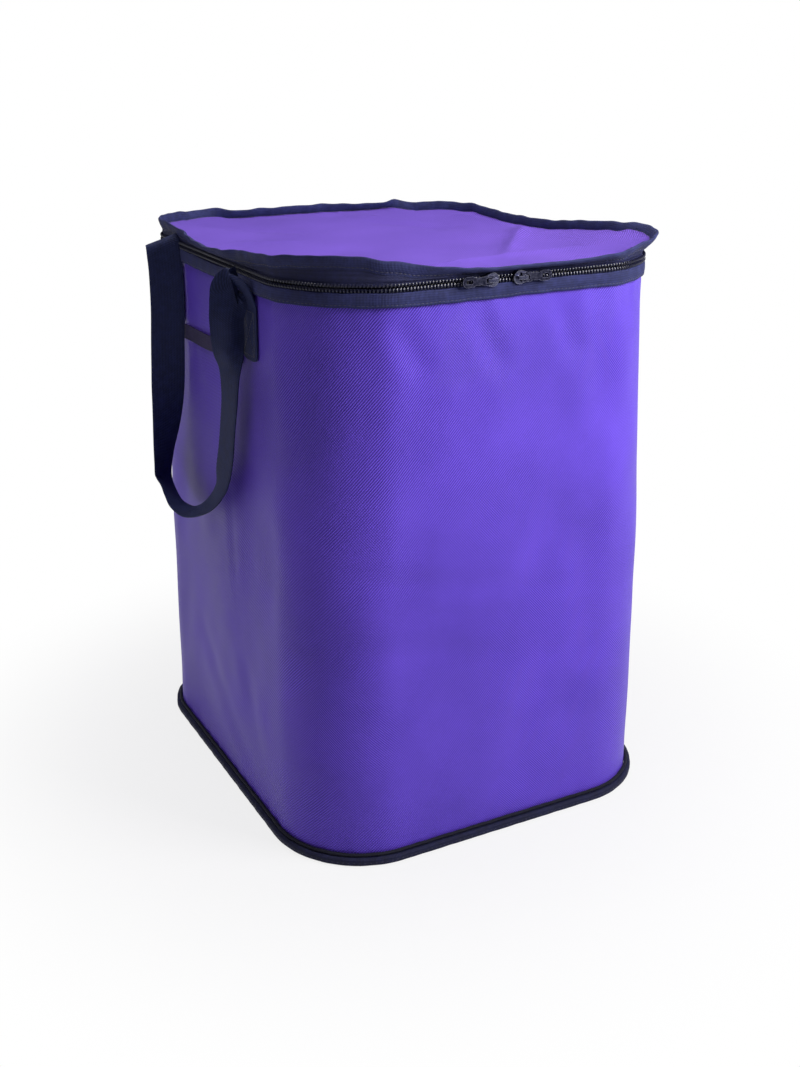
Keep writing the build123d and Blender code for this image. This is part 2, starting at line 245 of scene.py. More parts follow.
def bars(name, points):
    """Short capped bars in one mesh, from their points by bar, station and side."""
    count, stations, sides = points.shape[:3]
    quads, _, _ = grid_quads(stations, sides, False, True)
    ring = np.arange(sides)
    faces = []
    for n in range(count):
        base = n * stations * sides
        faces.extend(quads + base)
        faces.append(base + ring[::-1])
        faces.append(base + (stations - 1) * sides + ring)
    return make_mesh(name, points.reshape(-1, 3), faces)


def threads(name, centres, runs, outs, length, radius):
    """Row of stitches: a short rounded bar at each centre, along its run, standing off its face."""
    stations = [(-0.5, 0.35, -0.6), (-0.36, 0.9, 0.0), (0.0, 1.0, 0.35), (0.36, 0.9, 0.0), (0.5, 0.35, -0.6)]
    sides = 6
    side = np.cross(runs, outs)
    points = np.zeros((len(centres), len(stations), sides, 3))
    for k, (at, girth, lift) in enumerate(stations):
        middle = centres + runs * (at * length) + outs * (lift * radius)
        for m in range(sides):
            turn = 2 * math.pi * m / sides
            spoke = outs * math.sin(turn) * 0.8 + side * math.cos(turn)
            points[:, k, m] = middle + spoke * (girth * radius)
    return bars(name, points)


def rim_stitches(name, s_range, pitch, length, radius, spot):
    """Stitches round the rim or along part of it. spot(s) gives grow, z and the outward tilt up."""
    start, end = s_range
    s = np.arange(start, end, pitch)
    grow, z, tilt = spot(s)
    step = 0.2 * MM
    grow_next, z_next, _ = spot(s + step)
    centres = place(s, grow, z)
    runs = place(s + step, grow_next, z_next) - centres
    runs /= np.linalg.norm(runs, axis=1)[:, None]
    _, out = rim(s)
    tilt = np.broadcast_to(tilt, s.shape)
    outs = np.stack([out[:, 0] * np.cos(tilt), out[:, 1] * np.cos(tilt), np.sin(tilt)], axis=1)
    outs -= runs * (outs * runs).sum(axis=1)[:, None]
    outs /= np.linalg.norm(outs, axis=1)[:, None]
    return threads(name, centres, runs, outs, length, radius)


# ---- materials ----
def srgb(red, green, blue):
    values = [c / 255 for c in (red, green, blue)]
    return tuple(c / 12.92 if c < 0.04045 else ((c + 0.055) / 1.055) ** 2.4 for c in values) + (1.0,)


class Nodes:
    """Short names for building one material's node tree."""

    def __init__(self, name, roughness, metallic=0.0):
        self.material = bpy.data.materials.new(name)
        self.material.use_nodes = True
        self.tree = self.material.node_tree
        self.shader = self.tree.nodes["Principled BSDF"]
        self.shader.inputs["Roughness"].default_value = roughness
        self.shader.inputs["Metallic"].default_value = metallic

    def new(self, kind, **settings):
        node = self.tree.nodes.new(kind)
        for key, value in settings.items():
            setattr(node, key, value)
        return node

    def link(self, source, target):
        self.tree.links.new(source, target)

    def math(self, operation, first, second=None, third=None):
        node = self.new("ShaderNodeMath", operation=operation)
        for slot, value in enumerate((first, second, third)):
            if value is None:
                continue
            if isinstance(value, (int, float)):
                node.inputs[slot].default_value = value
            else:
                self.link(value, node.inputs[slot])
        return node.outputs[0]

    def mix(self, factor, first, second):
        node = self.new("ShaderNodeMix", data_type="RGBA")
        for slot, value in ((0, factor), (6, first), (7, second)):
            if isinstance(value, (int, float, tuple)):
                node.inputs[slot].default_value = value
            else:
                self.link(value, node.inputs[slot])
        return node.outputs[2]

    def blend(self, factor, first, second):
        """Plain numbers mixed by a factor."""
        return self.math("MULTIPLY_ADD", self.math("SUBTRACT", second, first), factor, first)

    def noise(self, scale, detail=2.0, roughness=0.5, vector=None):
        node = self.new("ShaderNodeTexNoise")
        node.inputs["Scale"].default_value = scale
        node.inputs["Detail"].default_value = detail
        node.inputs["Roughness"].default_value = roughness
        self.link(vector or self.position(), node.inputs["Vector"])
        return node.outputs["Fac"]

    def position(self):
        return self.new("ShaderNodeTexCoord").outputs["Object"]

    def weave(self):
        """The weave's two coordinates in metres: along and across."""
        split = self.new("ShaderNodeSeparateXYZ")
        self.link(self.new("ShaderNodeUVMap", uv_map="weave").outputs["UV"], split.inputs[0])
        return split.outputs["X"], split.outputs["Y"]

    def wave(self, value, pitch, phase=0.0):
        """Sine of a coordinate, 0 to 1, one wave each pitch."""
        turns = self.math("MULTIPLY_ADD", value, 2 * math.pi / pitch, phase)
        return self.math("MULTIPLY_ADD", self.math("SINE", turns), 0.5, 0.5)

    def ramp(self, value, start, end):
        node = self.new("ShaderNodeMapRange", interpolation_type="SMOOTHSTEP")
        self.link(value, node.inputs["Value"])
        node.inputs["From Min"].default_value = start
        node.inputs["From Max"].default_value = end
        return node.outputs["Result"]

    def bump(self, height, distance, strength=1.0, normal=None):
        node = self.new("ShaderNodeBump")
        node.inputs["Distance"].default_value = distance
        node.inputs["Strength"].default_value = strength
        self.link(height, node.inputs["Height"])
        if normal is not None:
            self.link(normal, node.inputs["Normal"])
        return node.outputs["Normal"]

    def finish(self, colour, normal=None, roughness=None, sheen=0.0, sheen_tint=None, specular=0.5):
        self.link(colour, self.shader.inputs["Base Color"])
        if normal is not None:
            self.link(normal, self.shader.inputs["Normal"])
        if roughness is not None:
            self.link(roughness, self.shader.inputs["Roughness"])
        self.shader.inputs["Sheen Weight"].default_value = sheen
        if sheen_tint is not None:
            self.shader.inputs["Sheen Tint"].default_value = sheen_tint
        self.shader.inputs["Specular IOR Level"].default_value = specular
        return self.material


RIB_PITCH = 2.1 * MM
RIB_SLANT = 0.9


def shell_material(name, light, dark, mottle, roughness):
    """Coated twill: fine diagonal ribs whose strength comes and goes, with a soft sheen."""
    n = Nodes(name, roughness)
    along, across = n.weave()
    slope = n.math("MULTIPLY_ADD", across, -RIB_SLANT, along)
    counter = n.math("MULTIPLY_ADD", across, RIB_SLANT, along)
    rib = n.wave(slope, RIB_PITCH)
    counter_rib = n.wave(counter, RIB_PITCH * 0.85)
    zone = n.ramp(n.noise(9.0, 2.0), 0.42, 0.62)
    ribs = n.blend(zone, rib, counter_rib)
    strength = n.math("MULTIPLY_ADD", n.ramp(n.noise(6.0, 2.0), 0.34, 0.62), 0.72, 0.28)
    ribs = n.math("MULTIPLY_ADD", n.math("SUBTRACT", ribs, 0.5), strength, 0.5)
    yarn = n.wave(across, 0.55 * MM)
    height = n.math("MULTIPLY_ADD", yarn, 0.12, ribs)
    clouds = n.noise(14.0, 3.0, 0.55)
    fine = n.noise(900.0, 2.0, 0.6)
    tone = n.math("MULTIPLY_ADD", ribs, 0.85, n.math("MULTIPLY_ADD", clouds, mottle, -0.18))
    tone = n.math("MULTIPLY_ADD", fine, 0.12, tone)
    colour = n.mix(tone, dark, light)
    normal = n.bump(height, 0.3 * MM, 0.9)
    rough = n.math("MULTIPLY_ADD", clouds, 0.16, roughness)
    return n.finish(colour, normal, rough, sheen=0.03, sheen_tint=(0.55, 0.42, 1.0, 1.0), specular=0.2)


def tape_material(name, light, dark, pitch, slant, roughness, sheen=0.05, fuzz=0.35):
    """Woven tape or webbing: ribs across its run, fine columns along it, and a worn, dusty cast."""
    n = Nodes(name, roughness)
    along, across = n.weave()
    slanted = n.math("MULTIPLY_ADD", across, slant, along)
    ribs = n.wave(slanted, pitch)
    columns = n.wave(across, pitch * 1.7)
    dust = n.noise(160.0, 4.0, 0.62)
    fibres = n.noise(2600.0, 2.0, 0.5)
    tone = n.math("MULTIPLY", ribs, n.math("MULTIPLY_ADD", columns, 0.35, 0.35))
    tone = n.math("MULTIPLY_ADD", n.ramp(dust, 0.38, 0.72), fuzz, tone)
    tone = n.math("MULTIPLY_ADD", fibres, 0.25, tone)
    colour = n.mix(tone, dark, light)
    height = n.math("MULTIPLY_ADD", columns, 0.4, ribs)
    normal = n.bump(n.math("MULTIPLY_ADD", fibres, 0.35, height), 0.16 * MM, 0.8)
    rough = n.math("MULTIPLY_ADD", dust, 0.2, roughness - 0.1)
    return n.finish(colour, normal, rough, sheen=sheen, sheen_tint=(0.45, 0.48, 0.9, 1.0), specular=0.2)


def coil_material():
    n = Nodes("coil_nylon", 0.3)
    fine = n.noise(700.0, 3.0)
    colour = n.mix(fine, srgb(8, 9, 24), srgb(30, 32, 66))
    rough = n.math("MULTIPLY_ADD", fine, 0.15, 0.24)
    return n.finish(colour, n.bump(fine, 0.03 * MM, 0.4), rough, specular=0.6)


def thread_material():
    n = Nodes("sewing_thread", 0.5)
    twist = n.new("ShaderNodeTexWave", wave_type="BANDS", bands_direction="DIAGONAL")
    twist.inputs["Scale"].default_value = 900.0
    twist.inputs["Distortion"].default_value = 1.5
    n.link(n.position(), twist.inputs["Vector"])
    colour = n.mix(twist.outputs["Fac"], srgb(14, 15, 34), srgb(50, 50, 88))
    return n.finish(colour, n.bump(twist.outputs["Fac"], 0.06 * MM, 0.7), sheen=0.2)


def lining_material():
    """Plain-woven charcoal lining with a faint ripstop grid."""
    n = Nodes("lining_cloth", 0.55)
    along, across = n.weave()
    grid = n.math("MAXIMUM", n.wave(along, 5.0 * MM), n.wave(across, 5.0 * MM))
    lines = n.ramp(grid, 0.955, 1.0)
    yarn = n.math("MULTIPLY", n.wave(along, 0.8 * MM), n.wave(across, 0.8 * MM))
    clouds = n.noise(22.0, 3.0)
    tone = n.math("MULTIPLY_ADD", yarn, 0.35, n.math("MULTIPLY", clouds, 0.55))
    tone = n.math("MULTIPLY_ADD", lines, 0.35, tone)
    colour = n.mix(tone, srgb(52, 52, 60), srgb(118, 118, 130))
    height = n.math("MULTIPLY_ADD", lines, 1.2, yarn)
    rough = n.math("MULTIPLY_ADD", clouds, 0.2, 0.42)
    return n.finish(colour, n.bump(height, 0.09 * MM, 0.7), rough, sheen=0.2)


def foam_material():
    n = Nodes("closed_cell_foam", 0.85)
    cells = n.new("ShaderNodeTexVoronoi")
    cells.inputs["Scale"].default_value = 1100.0
    n.link(n.position(), cells.inputs["Vector"])
    colour = n.mix(cells.outputs["Distance"], srgb(206, 206, 210), srgb(238, 238, 240))
    return n.finish(colour, n.bump(cells.outputs["Distance"], 0.2 * MM, 0.6), specular=0.2)


def board_material():
    n = Nodes("stiffening_board", 0.7)
    grain = n.noise(420.0, 4.0, 0.7)
    specks = n.noise(2200.0, 1.0)
    colour = n.mix(n.math("MULTIPLY_ADD", specks, 0.4, grain), srgb(60, 58, 56), srgb(112, 108, 102))
    return n.finish(colour, n.bump(grain, 0.1 * MM, 0.5), specular=0.3)


def metal_material(name, light, dark, roughness):
    """Plated die-cast metal: a painted highlight lightens its edges; greyer and scuffed on its faces."""
    n = Nodes(name, roughness, metallic=1.0)
    scuffs = n.noise(520.0, 4.0, 0.65)
    brushed = n.new("ShaderNodeMapping")
    brushed.inputs["Scale"].default_value = (260.0, 2600.0, 2600.0)
    n.link(n.position(), brushed.inputs["Vector"])
    strokes = n.noise(1.0, 2.0, 0.5, brushed.outputs["Vector"])
    edges = n.new("ShaderNodeBevel", samples=4)
    edges.inputs["Radius"].default_value = 0.35 * MM
    edge_highlight_facing = n.new("ShaderNodeVectorMath", operation="DOT_PRODUCT")
    n.link(edges.outputs["Normal"], edge_highlight_facing.inputs[0])
    n.link(n.new("ShaderNodeNewGeometry").outputs["Normal"], edge_highlight_facing.inputs[1])
    # Painted highlight: the colour turns lighter along the edges, where the bevel normal bends away from the
    # face's normal.
    edge = n.ramp(edge_highlight_facing.outputs["Value"], 0.995, 0.9)
    tone = n.math("MULTIPLY_ADD", n.math("SUBTRACT", scuffs, 0.35), 0.5, n.math("MULTIPLY", edge, 0.9))
    colour = n.mix(tone, dark, light)
    rough = n.math("MULTIPLY_ADD", scuffs, 0.25, roughness - 0.1)
    return n.finish(colour, n.bump(strokes, 0.02 * MM, 0.6), rough)


SHELL = shell_material("shell_twill", srgb(120, 87, 236), srgb(47, 32, 122), 0.42, 0.38)
LID = shell_material("lid_twill", srgb(122, 88, 202), srgb(66, 44, 136), 0.42, 0.68)
WEBBING = tape_material("webbing_weave", srgb(42, 50, 92), srgb(17, 23, 50), 1.3 * MM, 0.5, 0.75)
BINDING = tape_material("binding_weave", srgb(54, 59, 110), srgb(15, 19, 44), 0.9 * MM, 0.0, 0.7)
BASE_BINDING = tape_material("base_binding_weave", srgb(34, 36, 70), srgb(8, 9, 24), 0.9 * MM, 0.0, 0.7)
PIPING = tape_material("piping_weave", srgb(24, 25, 42), srgb(6, 6, 14), 0.8 * MM, 0.8, 0.65)
ZIP_TAPE = tape_material("zip_tape_weave", srgb(42, 45, 88), srgb(12, 14, 36), 0.8 * MM, 1.0, 0.66)
SIDE_TAPE = tape_material("side_tape_weave", srgb(60, 50, 88), srgb(26, 22, 44), 1.0 * MM, 0.0, 0.75)
COIL = coil_material()
THREAD = thread_material()
LINING = lining_material()
FOAM = foam_material()
BOARD = board_material()
METAL = metal_material("slider_metal", srgb(190, 190, 206), srgb(48, 50, 78), 0.28)
PULL_METAL = metal_material("pull_metal", srgb(150, 150, 176), srgb(14, 16, 36), 0.34)


def dress(made, material, body, slot, *replaced):
    """Finish, body and the CAD nodes that a piece stands for. slot is not used."""
    made.data.materials.append(material)
    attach(made, body)
    if replaced:
        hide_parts(*replaced)
    return made


# ---- wall: creases and dimples shared by the cloth, the foam and the lining ----
# Fold lines: two ends as (rim place, height), depth and width. A minus depth is a ridge.
LEFT_CREASES = [
    ((on_left(-0.023), 0.250), (on_left(-0.029), 0.165), 0.6 * MM, 6.0 * MM),
    ((on_left(0.061), 0.112), (on_left(-0.050), 0.022), 0.7 * MM, 10.0 * MM),
    ((on_left(-0.030), 0.132), (on_left(-0.071), 0.045), 0.6 * MM, 10.0 * MM),
    ((on_left(0.058), 0.374), (on_left(-0.048), 0.381), 0.8 * MM, 2.2 * MM),
]
FRONT_CREASES = [
    ((on_front(-0.120), 0.221), (on_front(0.100), 0.178), 0.5 * MM, 7.0 * MM),
    ((on_front(-0.120), 0.171), (on_front(0.104), 0.124), 0.5 * MM, 8.0 * MM),
    ((on_front(-0.085), 0.396), (on_front(-0.062), 0.352), 1.2 * MM, 8.0 * MM),
    ((on_front(-0.028), 0.398), (on_front(-0.004), 0.350), 1.3 * MM, 8.0 * MM),
    ((on_front(0.040), 0.398), (on_front(0.052), 0.355), 1.3 * MM, 8.0 * MM),
    ((on_front(0.066), 0.372), (on_front(0.100), 0.285), 1.4 * MM, 13.0 * MM),
]
OTHER_CREASES = [
    ((on_right(0.060), 0.330), (on_right(-0.030), 0.250), 0.9 * MM, 12.0 * MM),
    ((on_right(-0.070), 0.140), (on_right(0.020), 0.070), 0.9 * MM, 9.0 * MM),
    ((on_back(-0.070), 0.300), (on_back(-0.020), 0.215), 0.8 * MM, 12.0 * MM),
    ((on_back(0.070), 0.150), (on_back(0.030), 0.080), 0.9 * MM, 10.0 * MM),
]
CREASES = LEFT_CREASES + FRONT_CREASES + OTHER_CREASES
SEAM_HALF = 0.9 * MM


def short_way(distance):
    """A distance along the rim taken the short way round, plus or minus."""
    return np.mod(distance + RIM / 2, RIM) - RIM / 2


def crease(s, z, start, end, depth, width):
    """Valley along a line on the unrolled wall, with a soft shoulder each side."""
    along_s = short_way(s - start[0])
    run = np.array([short_way(end[0] - start[0]), end[1] - start[1]])
    length = np.hypot(*run)
    run = run / length
    t = along_s * run[0] + (z - start[1]) * run[1]
    off = (along_s * run[1] - (z - start[1]) * run[0]) / width
    taper = rise(t, -0.15 * length, 0.3 * length) * rise(t, 1.15 * length, 0.7 * length)
    return -depth * taper * (np.exp(-off ** 2) - 0.4 * np.exp(-(np.abs(off) - 1.9) ** 2))


def relief(s, z):
    """How far the wall's cloth stands out of, or in from, its plain shape."""
    height = z / WALL_TOP
    free = rise(z, 0.0, 40 * MM) * rise(z, WALL_TOP, WALL_TOP - 35 * MM)
    belly = 1.2 * MM * np.sin(math.pi * height) * ripple(s, (4, 8), 3)
    slack = 0.8 * MM * free * ripple(s + 0.05 * np.sin(9 * height), (5, 9, 13), 5) * np.sin(7 * height + 1)
    slack = slack + 0.5 * MM * free * ripple(s - 0.1 * height, (17, 23, 31), 7) * np.sin(11 * height + 2)
    pucker_top = rise(z, WALL_TOP - 26 * MM, WALL_TOP - 4 * MM)
    pucker_foot = rise(z, 24 * MM, 4 * MM)
    pucker = 0.35 * MM * (pucker_top * ripple(s, (47, 61, 83), 11) + pucker_foot * ripple(s, (53, 71), 13))
    total = belly + slack + pucker
    for start, end, depth, width in CREASES:
        total = total + crease(s, z, start, end, depth, width)
    beside = np.minimum(np.abs(s - LEFT_MIDDLE), np.abs(s - RIGHT_MIDDLE))
    held = rise(beside, 112 * MM, 96 * MM) * rise(z, 318 * MM, 336 * MM)
    total = total - held * np.maximum(total + 0.3 * MM, 0)
    from_seam = short_way(s)
    seam = -0.9 * MM * np.exp(-(from_seam / SEAM_HALF) ** 2)
    ridge = 0.5 * MM * np.exp(-((np.abs(from_seam) - 2.5 * MM) / (1.6 * MM)) ** 2)
    return total + seam + ridge


def layer_points(s, outer, inner, low, high, rows, extra=None):
    """Sections at places s of a layer between two offsets that follow the wall's relief, and the
    height of each of a section's points."""
    up = np.linspace(low, high, rows)
    z = np.concatenate([up, up[::-1]])
    side = np.concatenate([np.full(rows, outer), np.full(rows, inner)])
    stops = s[:, None]
    lift = relief(stops, z[None, :])
    if extra is not None:
        lift = lift + extra(stops, z[None, :])
    return place(stops, side[None, :] + lift, np.broadcast_to(z[None, :], lift.shape)), z


def wall_layer(name, outer, inner, low, high, spacing, rows, extra=None):
    """Closed sleeve of a layer, all the way round."""
    near = 6 * MM
    fine = 0.45 * MM if spacing < 5 * MM else 2 * MM
    s = np.concatenate([
        np.arange(0, near, fine),
        np.linspace(near, RIM - near, int((RIM - 2 * near) / spacing)),
        np.arange(RIM - near + fine, RIM + fine / 2, fine),
    ])
    s[-1] = RIM
    points, z = layer_points(s[:-1], outer, inner, low, high, rows, extra)
    return tube(name, points, s, np.concatenate([z, z[:1]]), True)


def node_grow(node, z):
    """Outer and inner offsets of a sleeve node, read off its front wall at about height z."""
    points = np.array([v.co for v in frame["nodes"][node].data.vertices])
    level = points[np.argmin(np.abs(points[:, 2] - z))][2]
    front = points[(np.abs(points[:, 2] - level) < TINY) & (np.abs(points[:, 0]) < CORE_X + TINY)]
    front = front[front[:, 1] < 0]
    reach = -front[:, 1] - CORE_Y - radius_at(level)
    return reach.max(), reach.min()


def make_wall():
    outer, inner = node_grow("wall_wrap", FOOT_Z)
    shell = wall_layer("wall_shell", outer, inner, FOOT_Z, WALL_TOP, 3.6 * MM, 118)
    dress(shell, SHELL, "bag", "shell_cloth", "wall_wrap")
    outer, inner = node_grow("wall_foam", FOOT_Z)
    foam = wall_layer("wall_padding", outer, inner, FOOT_Z, WALL_TOP, 9.0 * MM, 46)
    dress(foam, FOAM, "bag", "foam", "wall_foam")

    outer, inner = node_grow("wall_lining", FOOT_Z)
    lining = wall_layer("wall_lining_cloth", outer, inner, FOOT_Z, WALL_TOP, 5.0 * MM, 80, lining_slack)
    dress(lining, LINING, "bag", "lining", "wall_lining")
    make_seam_tape(inner)


def lining_slack(s, z):
    """How far the wall's lining hangs in, away from the foam."""
    free = rise(z, 8 * MM, 60 * MM) * rise(z, WALL_TOP - 2 * MM, WALL_TOP - 50 * MM)
    folds = ripple(s + 0.2 * z, (19, 29, 41), 17) + 0.6 * ripple(s - 0.3 * z, (11, 37), 19)
    return -0.9 * MM * free * (0.7 + 0.45 * folds)


def make_seam_tape(lining_face):
    """Tape sewn over the wall's back seam, inside, with a row of stitches near each edge."""
    low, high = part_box("back_seam_tape")
    half = high.x
    s = np.linspace(-half, half, 17)
    face = lining_face - 0.15 * MM
    points, z = layer_points(s, face, face - 0.6 * MM, low.z, high.z, 90, lining_slack)
    tape = tube("back_seam_cover", points, s, np.concatenate([z, z[:1]]), False)
    dress(tape, BINDING, "bag", "binding", "back_seam_tape")
    pitch = 3.2 * MM
    height = np.arange(low.z + 2 * pitch, high.z - pitch, pitch)
    at = np.repeat([-(half - 1.8 * MM), half - 1.8 * MM], len(height))
    height = np.tile(height, 2)
    step = 0.2 * MM

    def on_face(z):
        return place(at, face - 0.6 * MM + relief(at, z) + lining_slack(at, z), z)

    runs = on_face(height + step) - on_face(height)
    runs /= np.linalg.norm(runs, axis=1)[:, None]
    inward = np.tile([0.0, -1.0, 0.0], (len(height), 1))
    line = threads("back_seam_cover_stitches", on_face(height), runs, inward, 2.5 * MM, 0.26 * MM)
    dress(line, THREAD, "bag", "thread")


# ---- sheets that fill the rim's plan: base, base lining, lid ----
PLAN_STOPS = 720            # places round the rim at which a plan's outline is sampled
SETTLE_PASSES = 900         # smoothing passes that carry the lid's edge heights inwards


def plan_grid(steps, grow, z):
    """Square grid spread over the rim's plan, its edge on the outline; the plain (x, y) of each
    point and how near the edge it lies, 0 in the middle to 1."""
    s = np.linspace(0, RIM, PLAN_STOPS)
    edge = place(s, grow(s) if callable(grow) else grow, z)[:, :2]
    turns = np.unwrap(np.arctan2(edge[:, 1], edge[:, 0]))
    reach = np.hypot(edge[:, 0], edge[:, 1])
    u, v = np.meshgrid(np.linspace(-1, 1, steps), np.linspace(-1, 1, steps), indexing="ij")
    half_x = np.abs(edge[:, 0]).max()
    half_y = np.abs(edge[:, 1]).max()
    x, y = u * half_x, v * half_y
    square = np.maximum(np.abs(u), np.abs(v))
    turn = np.arctan2(y, x)
    turn = np.where(turn < turns[0], turn + 2 * math.pi, turn)
    outline = np.interp(turn, turns, reach, period=2 * math.pi)
    to_square = np.hypot(x, y) / np.maximum(square, TINY)
    share = np.where(square > TINY, outline / np.maximum(to_square, TINY), 1.0)
    blend = square ** 3
    scale = 1 + (share - 1) * blend
    return np.stack([x * scale, y * scale], axis=-1), square


def plan_sheet(name, flat, top, under):
    """Closed sheet over a plan grid, from its upper and lower heights."""
    steps = flat.shape[0]
    quads, _, _ = grid_quads(steps, steps, False, False)
    upper = np.concatenate([flat, top[..., None]], axis=-1).reshape(-1, 3)
    lower = np.concatenate([flat, under[..., None]], axis=-1).reshape(-1, 3)
    count = steps * steps
    faces = list(quads) + list(quads[:, ::-1] + count)
    index = np.arange(count).reshape(steps, steps)
    border = np.concatenate([index[:-1, 0], index[-1, :-1], index[:0:-1, -1], index[0, :0:-1]])
    after = np.roll(border, -1)
    faces += list(np.stack([border, border + count, after + count, after], axis=1))
    points = np.concatenate([upper, lower])
    uv = np.concatenate([points[np.asarray(face), :2] for face in faces])
    return make_mesh(name, points, faces, uv)


def make_base():
    low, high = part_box("base_cloth")
    grow = high.x - CORE_X - radius_at(high.z)
    flat, edge = plan_grid(72, grow, high.z)
    x, y = flat[..., 0], flat[..., 1]
    sink = rise(edge, 1.0, 0.75)
    under = low.z + 0.35 * MM * sink * (0.5 + 0.5 * np.sin(41 * x + 13) * np.sin(37 * y + 2))
    top = np.full_like(under, high.z)
    cloth = plan_sheet("base_cloth_cover", flat, top, under)
    dress(cloth, SHELL, "bag", "shell_cloth", "base_cloth")

    low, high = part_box("base_lining")
    grow = high.x - CORE_X - radius_at(high.z)
    flat, edge = plan_grid(84, grow, high.z)
    x, y = flat[..., 0], flat[..., 1]
    folds = np.sin(23 * x + 31 * y) * np.sin(47 * x - 19 * y + 1) + 0.5 * np.sin(90 * x + 40 * y)
    lift = 0.5 * MM * rise(edge, 1.0, 0.86) * (1 + 0.7 * folds)
    lining = plan_sheet("base_lining_cloth", flat, high.z + lift, low.z + lift)
    dress(lining, LINING, "bag", "lining", "base_lining")


# ---- base seam: bound edge and piping ----
def make_base_trim():
    low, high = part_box("base_binding")
    half_height = (high.z - low.z) / 2
    outer = high.x - CORE_X - radius_at(half_height)
    inner = 0.3 * MM
    half_width = (outer - inner) / 2
    section = rounded(half_width, half_height, 2.3 * MM, 5)
    groove = np.exp(-((section[:, 1] + 0.2 * MM) / (0.8 * MM)) ** 2) * (section[:, 0] > 0)
    section[:, 0] -= 0.45 * MM * groove
    section += (inner + half_width, half_height)

    def uneven(s, grow, z):
        wave = ripple(s, (37, 59, 97), 23)
        out = np.maximum(grow - inner - half_width, 0)
        free = rise(z, 0.0, 3 * MM)
        return grow + 0.25 * MM * wave * (out > 0), z + 0.25 * MM * wave * free

    ring = rim_ring("base_bound_edge", section, 3 * MM, uneven)
    dress(ring, BASE_BINDING, "bag", "binding", "base_binding")

    low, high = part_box("base_piping")
    radius = (high.z - low.z) / 2
    turns = np.radians(np.arange(0, 360, 30))
    section = np.stack([radius * np.cos(turns), radius * np.sin(turns)], axis=1)
    section += (inner + radius, low.z + radius)

    def lumpy(s, grow, z):
        wave = ripple(s, (41, 67, 103), 29)
        return grow + 0.15 * MM * wave, z + 0.15 * MM * np.roll(wave, 5, axis=0)

    roll = rim_ring("base_piping_cord", section, 3 * MM, lumpy)
    dress(roll, PIPING, "bag", "piping", "base_piping")

    def spot(s):
        wave = ripple(s, (37, 59, 97), 23)
        return outer - 0.42 * MM + 0.25 * MM * wave, half_height - 0.2 * MM + 0.25 * MM * wave, 0.0

    line = rim_stitches("base_bound_edge_stitches", (0, RIM), 3.4 * MM, 2.7 * MM, 0.28 * MM, spot)
    dress(line, THREAD, "bag", "thread")


# ---- mouth binding ----
def make_mouth_binding():
    low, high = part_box("mouth_binding")
    outer = high.x - CORE_X - MOUTH_RADIUS
    inner = 0.2 * MM
    half_width = (outer - inner) / 2
    half_height = (high.z - low.z) / 2
    section = rounded(half_width, half_height, 0.85 * MM, 4)
    rungs = np.linspace(-half_height + 1.2 * MM, half_height - 1.2 * MM, 7)
    right = np.stack([np.full(7, half_width), rungs], axis=1)
    left = np.stack([np.full(7, -half_width), rungs[::-1]], axis=1)
    corner = 5
    ends = section[:corner], section[corner:3 * corner], section[3 * corner:]
    section = np.concatenate([ends[0], right, ends[1], left, ends[2]])
    face = section[:, 0] > 0
    groove = np.exp(-((section[:, 1] + half_height - 1.7 * MM) / (0.7 * MM)) ** 2)
    swell = 0.35 * MM * np.cos(section[:, 1] / half_height * math.pi / 2)
    section[:, 0] += face * (swell - 0.3 * MM * groove)
    section += (inner + half_width, low.z + half_height)
    middle = low.z + half_height

    def uneven(s, grow, z):
        wave = ripple(s, (23, 37, 53), 31)
        sag = 0.5 * MM * ripple(s, (5, 9), 33)
        out = (grow > inner + half_width) * 0.25 * MM * ripple(s, (61, 83, 29), 37)
        return grow + out, z + 0.3 * MM * wave * np.sign(z - middle) + sag * 0.6

    ring = rim_ring("mouth_bound_edge", section, 2.5 * MM, uneven)
    dress(ring, BINDING, "bag", "binding", "mouth_binding")

    def spot(s):
        sag = 0.3 * MM * ripple(s, (5, 9), 33) - 0.3 * MM * ripple(s, (23, 37, 53), 31)
        return outer - 0.1 * MM + 0.25 * MM * ripple(s, (61, 83, 29), 37), low.z + 1.7 * MM + sag, 0.0

    line = rim_stitches("mouth_bound_edge_stitches", (0, RIM), 3.0 * MM, 2.4 * MM, 0.26 * MM, spot)
    dress(line, THREAD, "bag", "thread")


# ---- lid edge: height and lean of its binding round the rim ----
binding_low, binding_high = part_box("lid_binding")
BINDING_HEIGHT = binding_high.z - binding_low.z
BINDING_HALF = 1.35 * MM
BINDING_MIDDLE = binding_high.x - CORE_X - MOUTH_RADIUS - 1.5 * MM
TAPE_MIDDLE = -0.4 * MM
upper_coil_low, upper_coil_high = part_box("zip_coil_upper")
EDGE_FLOOR = upper_coil_high.z + 0.5 * MM
SLIDER_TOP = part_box("slider_left")[1].z
HINGE_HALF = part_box("lid_hinge_cloth")[1].x

